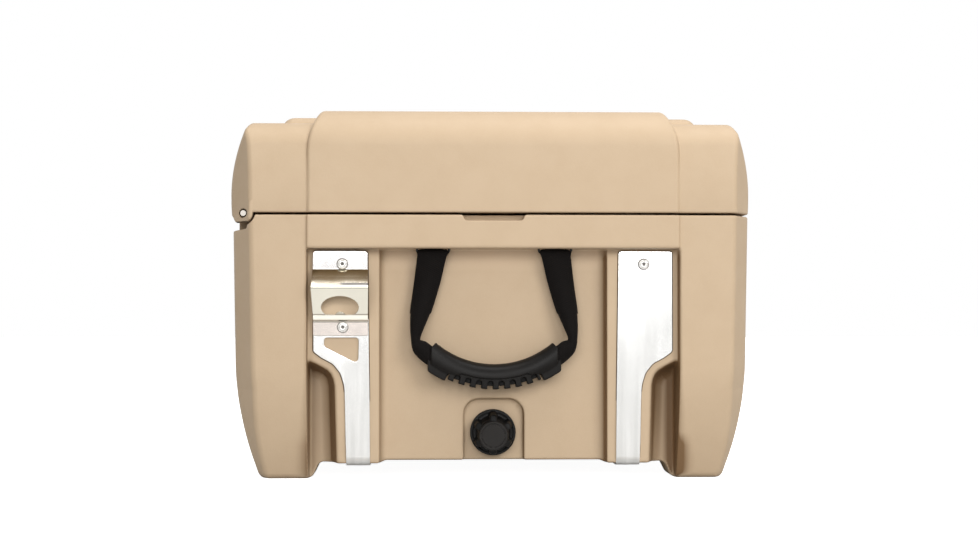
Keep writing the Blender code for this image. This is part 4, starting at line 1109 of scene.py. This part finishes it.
def grip_field(sign_x):
    """Curved grip: bulge above, toothed rib below, hollow for the webbing."""
    def field(x, y, z):
        depth = x * sign_x - GRIP_X
        side, drop = y - HANDLE_Y, GRIP_Z - z
        abs_side, abs_depth = np.abs(side), np.abs(depth)
        reach = radius(side, drop)
        turn = np.degrees(np.arctan2(side, drop))
        angle = np.abs(turn)
        off_arc = reach - GRIP_ARC
        flat = np.abs(depth / (13.2 - 1.0 * ease(4, 30, angle))) ** 2.2
        lift = off_arc - 2.6
        upper = np.abs(lift / 13.9) ** 2.0 + flat
        lower = np.abs(lift / 8.7) ** 2.8 + flat
        tube = (np.where(lift < 0, upper, lower) ** 0.45 - 1.0) * 11.0
        # the bulge ends at a step that curls down at both ends, the rib stands below it
        line = 109.9 + 5.5 * ease(17.5, 23.0, angle)
        bulge = np.where(angle < 24.5, meet(tube, reach - line, 0.8), tube)
        rib = meet(abs_depth - 10.6, np.maximum(reach - 120.9, 100.0 - reach), 1.6)
        rib = meet(rib, (angle - 24.0) * 2.0, 1.0)
        flange = meet(abs_depth - 8.8, np.maximum(reach - 123.6, 104.0 - reach), 1.6)
        flange = meet(flange, (24.9 - angle) * 2.0, 1.2)
        flange = meet(flange, abs_side - 69.9, 1.2)
        bulge = meet(bulge, abs_side - 66.4 + 0.9 * np.maximum(z - 138.0, 0), 1.3)
        grip = join(np.minimum(bulge, rib), flange, 1.5)
        # finger notches: round pockets with an open slot below
        nearest = np.clip(np.round((turn - NOTCH_TURN) / NOTCH_PITCH - 0.5), -4, 3)
        centre = (nearest + 0.5) * NOTCH_PITCH + NOTCH_TURN
        along = (turn - centre) * np.pi / 180.0 * 115.3
        hole = radius(along, reach - 115.1) - 3.05
        neck = np.maximum(np.abs(along) - 3.05, np.abs(reach - 117.0) - 2.4)
        grip = carve(grip, meet(np.minimum(hole, neck), 2.2 - abs_depth, 0.6), 0.5)
        grip = carve(grip, np.maximum(np.abs(along) - 2.7, 117.6 - reach), 0.5)
        # sleeve for the webbing
        sleeve = radius(off_arc / 10.0, depth / 10.8) * 10.0 - 10.0
        return carve(grip, np.maximum(sleeve, 52.0 - abs_side), 0.5)
    return field


for end, sign_x in ENDS:
    end += "_end"
    grid = (on_side(lines(329.0, 360.0, 0.85), sign_x), HANDLE_Y + mirror_lines(73.0, 0.72),
            lines(88.0, 147.5, 0.72))
    me = surface_net(f"grip_{end}", grip_field(sign_x), grid, limit=0.7, reach=0.06)
    place(f"grip_{end}_moulded", me, GRIP, f"handle_{end}", "grip_plastic",
          f"handle_grip_{end}")
    straps = []
    for tag, sign_y in (("a", 1), ("b", -1)):
        name = f"webbing_{end}_{tag}"
        straps.append(place(name, strap_mesh(name, sign_x, sign_y), WEBBING, f"handle_{end}",
                            "webbing"))
    for strap in straps:
        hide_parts(f"handle_strap_{end}")


def tube_mesh(name, path, r, seg=16):
    """Round wire along a path that lies across the x axis."""
    path = np.asarray(path, float)
    tangents = np.gradient(path, axis=0)
    tangents /= np.linalg.norm(tangents, axis=1)[:, None]
    points = []
    for spot, tangent in zip(path, tangents):
        across = np.cross(tangent, np.array([1.0, 0.0, 0.0]))
        across /= np.linalg.norm(across)
        other = np.cross(tangent, across)
        for j in range(seg):
            angle = 2 * math.pi * j / seg
            points.append(spot + r * (math.cos(angle) * across + math.sin(angle) * other))
    me = array_mesh(name, np.array(points), ring_faces(len(path), seg))
    face_outward(me, (range(seg), range(len(points) - seg, len(points)))).shade_smooth()
    return me


# wire loops the webbing hangs from: (y from the loop's middle, z, corner radius)
LOOP_PATH = fillet([(-16.9, 255.0, 0), (-16.9, 238.0, 3.0), (16.9, 238.0, 3.0),
                    (16.9, 255.0, 0)], 10, False)
LOOP_POINTS = subdivide(LOOP_PATH, 1.5) + [LOOP_PATH[-1]]
for corner, sign_x, sign_y in CORNERS:
    side, end = corner.split("_")
    middle = sign_y * STRAP_Y + HANDLE_Y
    me = tube_mesh(f"anchor_{end}_end_{side}",
                   [(sign_x * 341.0, middle + y, z) for y, z in LOOP_POINTS], 1.4)
    place(f"strap_loop_{end}_end_{side}", me, LOOP, "cooler_body", "fastener_steel",
          f"strap_anchor_{end}_end_{side}")


# ----------------------------------------------------------------- drain cap
def cap_field(x, y, z):
    """Flanged cap with a six-tabbed hub and a threaded stem, axis along x."""
    out = -x
    tilted = z - DRAIN_Z + 0.15 * (out - 338.0)
    r = radius(y, tilted)
    angle = np.arctan2(tilted, y)
    flange = meet(r - 24.2, np.maximum(328.7 - out, out - 332.4), 1.2)
    rim = meet(np.abs(r - 22.6) - 1.5, np.maximum(330.0 - out, out - 333.4), 0.8)
    hub = (r - (16.2 + 1.6 * ease(345, 333, out))) * 0.85
    hub = meet(hub, np.maximum(330.0 - out, out - 347.5), 1.6)
    turn = np.mod(angle - math.pi / 2 + math.pi / 6, math.pi / 3) - math.pi / 6
    tab = meet(np.abs(r * np.sin(turn)) - 4.1 - 0.05 * (340 - out),
               r * np.cos(turn) - 22.4 + 0.16 * np.maximum(out - 334, 0), 3.3)
    tab_face = out - (347.2 - 0.55 * np.maximum(r - 15.5, 0))
    tab = meet(tab, np.maximum(330.0 - out, tab_face), 1.5)
    disc = meet(r - 14.9, np.maximum(340.0 - out, out - 351.0), 0.9)
    cap = join(np.minimum(flange, rim), join(hub, tab, 1.2), 1.2)
    cap = join(cap, disc, 1.5)
    cap = carve(cap, meet(np.abs(r - 12.3) - 0.55, 350.55 - out, 0.2), 0.25)
    helix = out / 3.4 + np.arctan2(z - DRAIN_Z, y) / (2 * np.pi)
    stem = radius(y, z - DRAIN_Z) - (7.6 + 0.5 * np.cos(2 * np.pi * helix))
    return np.minimum(cap, np.maximum(stem, np.maximum(318.5 - out, out - 331.0)))


me = surface_net("cap_looks", cap_field, (on_side(lines(316.5, 353.5, 0.6), -1),
                                          mirror_lines(27.5, 0.62),
                                          DRAIN_Z + mirror_lines(28.5, 0.62)))
place("drain_cap_moulded", me, CAP, "drain_cap", "drain_plastic", "drain_cap")

# ------------------------------------------------------ rubber latches, gasket
for node in ("latch_left", "latch_right"):
    me = frame["nodes"][node].data.copy()
    ob = place(f"{node}_rubber", me, LATCH, node, "latch_rubber", node)
    even = ob.modifiers.new("even", "REMESH")
    even.mode = "VOXEL"
    even.voxel_size = 0.75 * MM
    even.use_smooth_shade = True
    soften = ob.modifiers.new("soften", "SMOOTH")
    soften.factor = 0.6
    soften.iterations = 6

# bulb section (outward, z)
BULB = [(-3.6, 285.8), (-3.8, 284.2), (-2.7, 283.4), (-2.9, 281.6), (-2.4, 279.6),
        (-1.3, 278.4), (0, 278.0), (1.3, 278.4), (2.4, 279.6), (2.9, 281.6), (2.7, 283.4),
        (3.8, 284.2), (3.6, 285.8)]


def gasket_mesh():
    """Bulb swept round the lid."""
    half_x, half_y, r = GASKET
    path = []  # x, y, outward x, outward y
    for i, (sx, sy) in enumerate(((1, 1), (-1, 1), (-1, -1), (1, -1))):
        for k in range(13):
            angle = math.radians(90 * i + 7.5 * k)
            cos, sin = math.cos(angle), math.sin(angle)
            path.append((sx * (half_x - r) + r * cos, sy * (half_y - r) + r * sin, cos, sin))
    path = subdivide(path + path[:1], 4.0)
    points = [(p[0] + out * p[2], p[1] + out * p[3], z + 0.06 * math.sin(i * 0.9))
              for i, p in enumerate(path) for out, z in BULB]
    faces = ring_faces(len(path), len(BULB), closed=True)
    me = array_mesh("gasket_looks", np.array(points), faces)
    face_outward(me).shade_smooth()
    return me


place("lid_gasket_bulb", gasket_mesh(), SEAL, "lid", "seal", "lid_gasket")

# --------------------------------------------------------- remaining CAD nodes
SLOT_MATERIALS = {"foam": FOAM, "sand_shell": SAND, "plate_steel": PLATE,
                  "fastener_steel": FASTENER, "grip_plastic": GRIP, "drain_plastic": CAP,
                  "webbing": WEBBING, "latch_rubber": LATCH, "seal": SEAL}
REPLACED = ("body_shell", "lid_shell", "bottle_opener", "drain_cap", "lid_gasket",
            "latch_left", "latch_right")
REPLACED_KINDS = ("skid_plate", "plate_screw", "foot_screw", "handle_", "strap_anchor")

slots = {part["node"]: part["material_slot"] for part in frame["record"]["subparts"]}
for name, ob in frame["nodes"].items():
    ob.data.materials.clear()
    ob.data.materials.append(SLOT_MATERIALS[slots[name]])
frame["nodes"]["hinge_rod"].data.materials[0] = ROD

for name, ob in frame["nodes"].items():
    if name in REPLACED or name.startswith(REPLACED_KINDS):
        continue
    bevel = ob.modifiers.new("edges", "BEVEL")
    bevel.width = 0.45 * MM
    bevel.segments = 2
    bevel.limit_method = "ANGLE"
    bevel.angle_limit = math.radians(38)
    bevel.harden_normals = True


# --------------------------------------------------------------------- stage
def floor_material():
    """Near white to the camera, grey to diffuse rays."""
    n = Nodes("pale_floor")
    tone = n.span(n.noise(scale=0.8, detail=2.0), over=(0.3, 0.7))
    rays = n.add("ShaderNodeLightPath").outputs
    base = n.mix(tone, (0.86, 0.86, 0.855), tint=(0.88, 0.88, 0.875))
    glow = n.span(rays["Is Camera Ray"], over=(0.0, 1.0), to=(0.0, 0.96))
    return n.finish(Base_Color=n.mix(rays["Is Diffuse Ray"], base, tint=(0.46, 0.46, 0.46)),
                    Roughness=0.8, Emission_Color=(1.0, 1.0, 1.0), Emission_Strength=glow)


def floor_disc():
    floor_mat = floor_material()
    bm = bmesh.new()
    bmesh.ops.create_circle(bm, cap_ends=True, radius=14.0, segments=96)
    me = bpy.data.meshes.new("floor")
    bm.to_mesh(me)
    bm.free()
    me.materials.append(floor_mat)
    link(bpy.data.objects.new("floor", me))


def studio_world():
    """White world, full strength to the camera and reflections, dimmer as a light."""
    world = bpy.data.worlds.new("studio")
    bpy.context.scene.world = world
    world.use_nodes = True
    tree = world.node_tree
    background = tree.nodes["Background"]
    background.inputs["Color"].default_value = (1.0, 1.0, 1.0, 1.0)
    rays = tree.nodes.new("ShaderNodeLightPath")
    seen = tree.nodes.new("ShaderNodeMath")
    seen.operation = "MAXIMUM"
    tree.links.new(rays.outputs["Is Camera Ray"], seen.inputs[0])
    tree.links.new(rays.outputs["Is Glossy Ray"], seen.inputs[1])
    level = tree.nodes.new("ShaderNodeMapRange")
    level.inputs["To Min"].default_value = 0.44
    level.inputs["To Max"].default_value = 1.0
    tree.links.new(seen.outputs[0], level.inputs["Value"])
    tree.links.new(level.outputs["Result"], background.inputs["Strength"])


def area(name, spot, target, size, power):
    light = bpy.data.lights.new(name, "AREA")
    light.shape = "RECTANGLE"
    light.size, light.size_y = size
    light.energy = power
    light.color = (1, 1, 1)
    ob = link(bpy.data.objects.new(name, light))
    ob.location = spot
    ob.rotation_euler = (Vector(target) - Vector(spot)).to_track_quat("-Z", "Y").to_euler()


def camera(spot, yaw, pitch, lens):
    """Camera that looks along +X, turned by yaw and raised by pitch, in degrees."""
    data = bpy.data.cameras.new("camera")
    data.sensor_width = 36.0
    data.lens = lens
    data.clip_end = 60.0
    ob = link(bpy.data.objects.new("camera", data))
    yaw, pitch = math.radians(yaw), math.radians(pitch)
    forward = Vector((math.cos(yaw) * math.cos(pitch), math.sin(yaw) * math.cos(pitch),
                      math.sin(pitch)))
    ob.location = spot
    ob.rotation_euler = forward.to_track_quat("-Z", "Y").to_euler()
    bpy.context.scene.camera = ob


floor_disc()
studio_world()
area("key", spot=(-2.5, -1.55, 1.35), target=(-0.3, 0, 0.2), size=(1.2, 1.2), power=34.8)
area("front", spot=(-3.1, 0.34, 1.05), target=(0, 0, 0.2), size=(2.0, 1.3), power=38.0)
area("top", spot=(-0.6, -0.25, 2.4), target=(0, 0, 0.2), size=(1.6, 1.6), power=35.0)
camera(spot=(-2.3433, 0.0782, 0.170), yaw=-2.11, pitch=1.27, lens=70.1226994)
bpy.context.scene.view_settings.view_transform = "Standard"
bpy.context.scene.view_settings.look = "None"
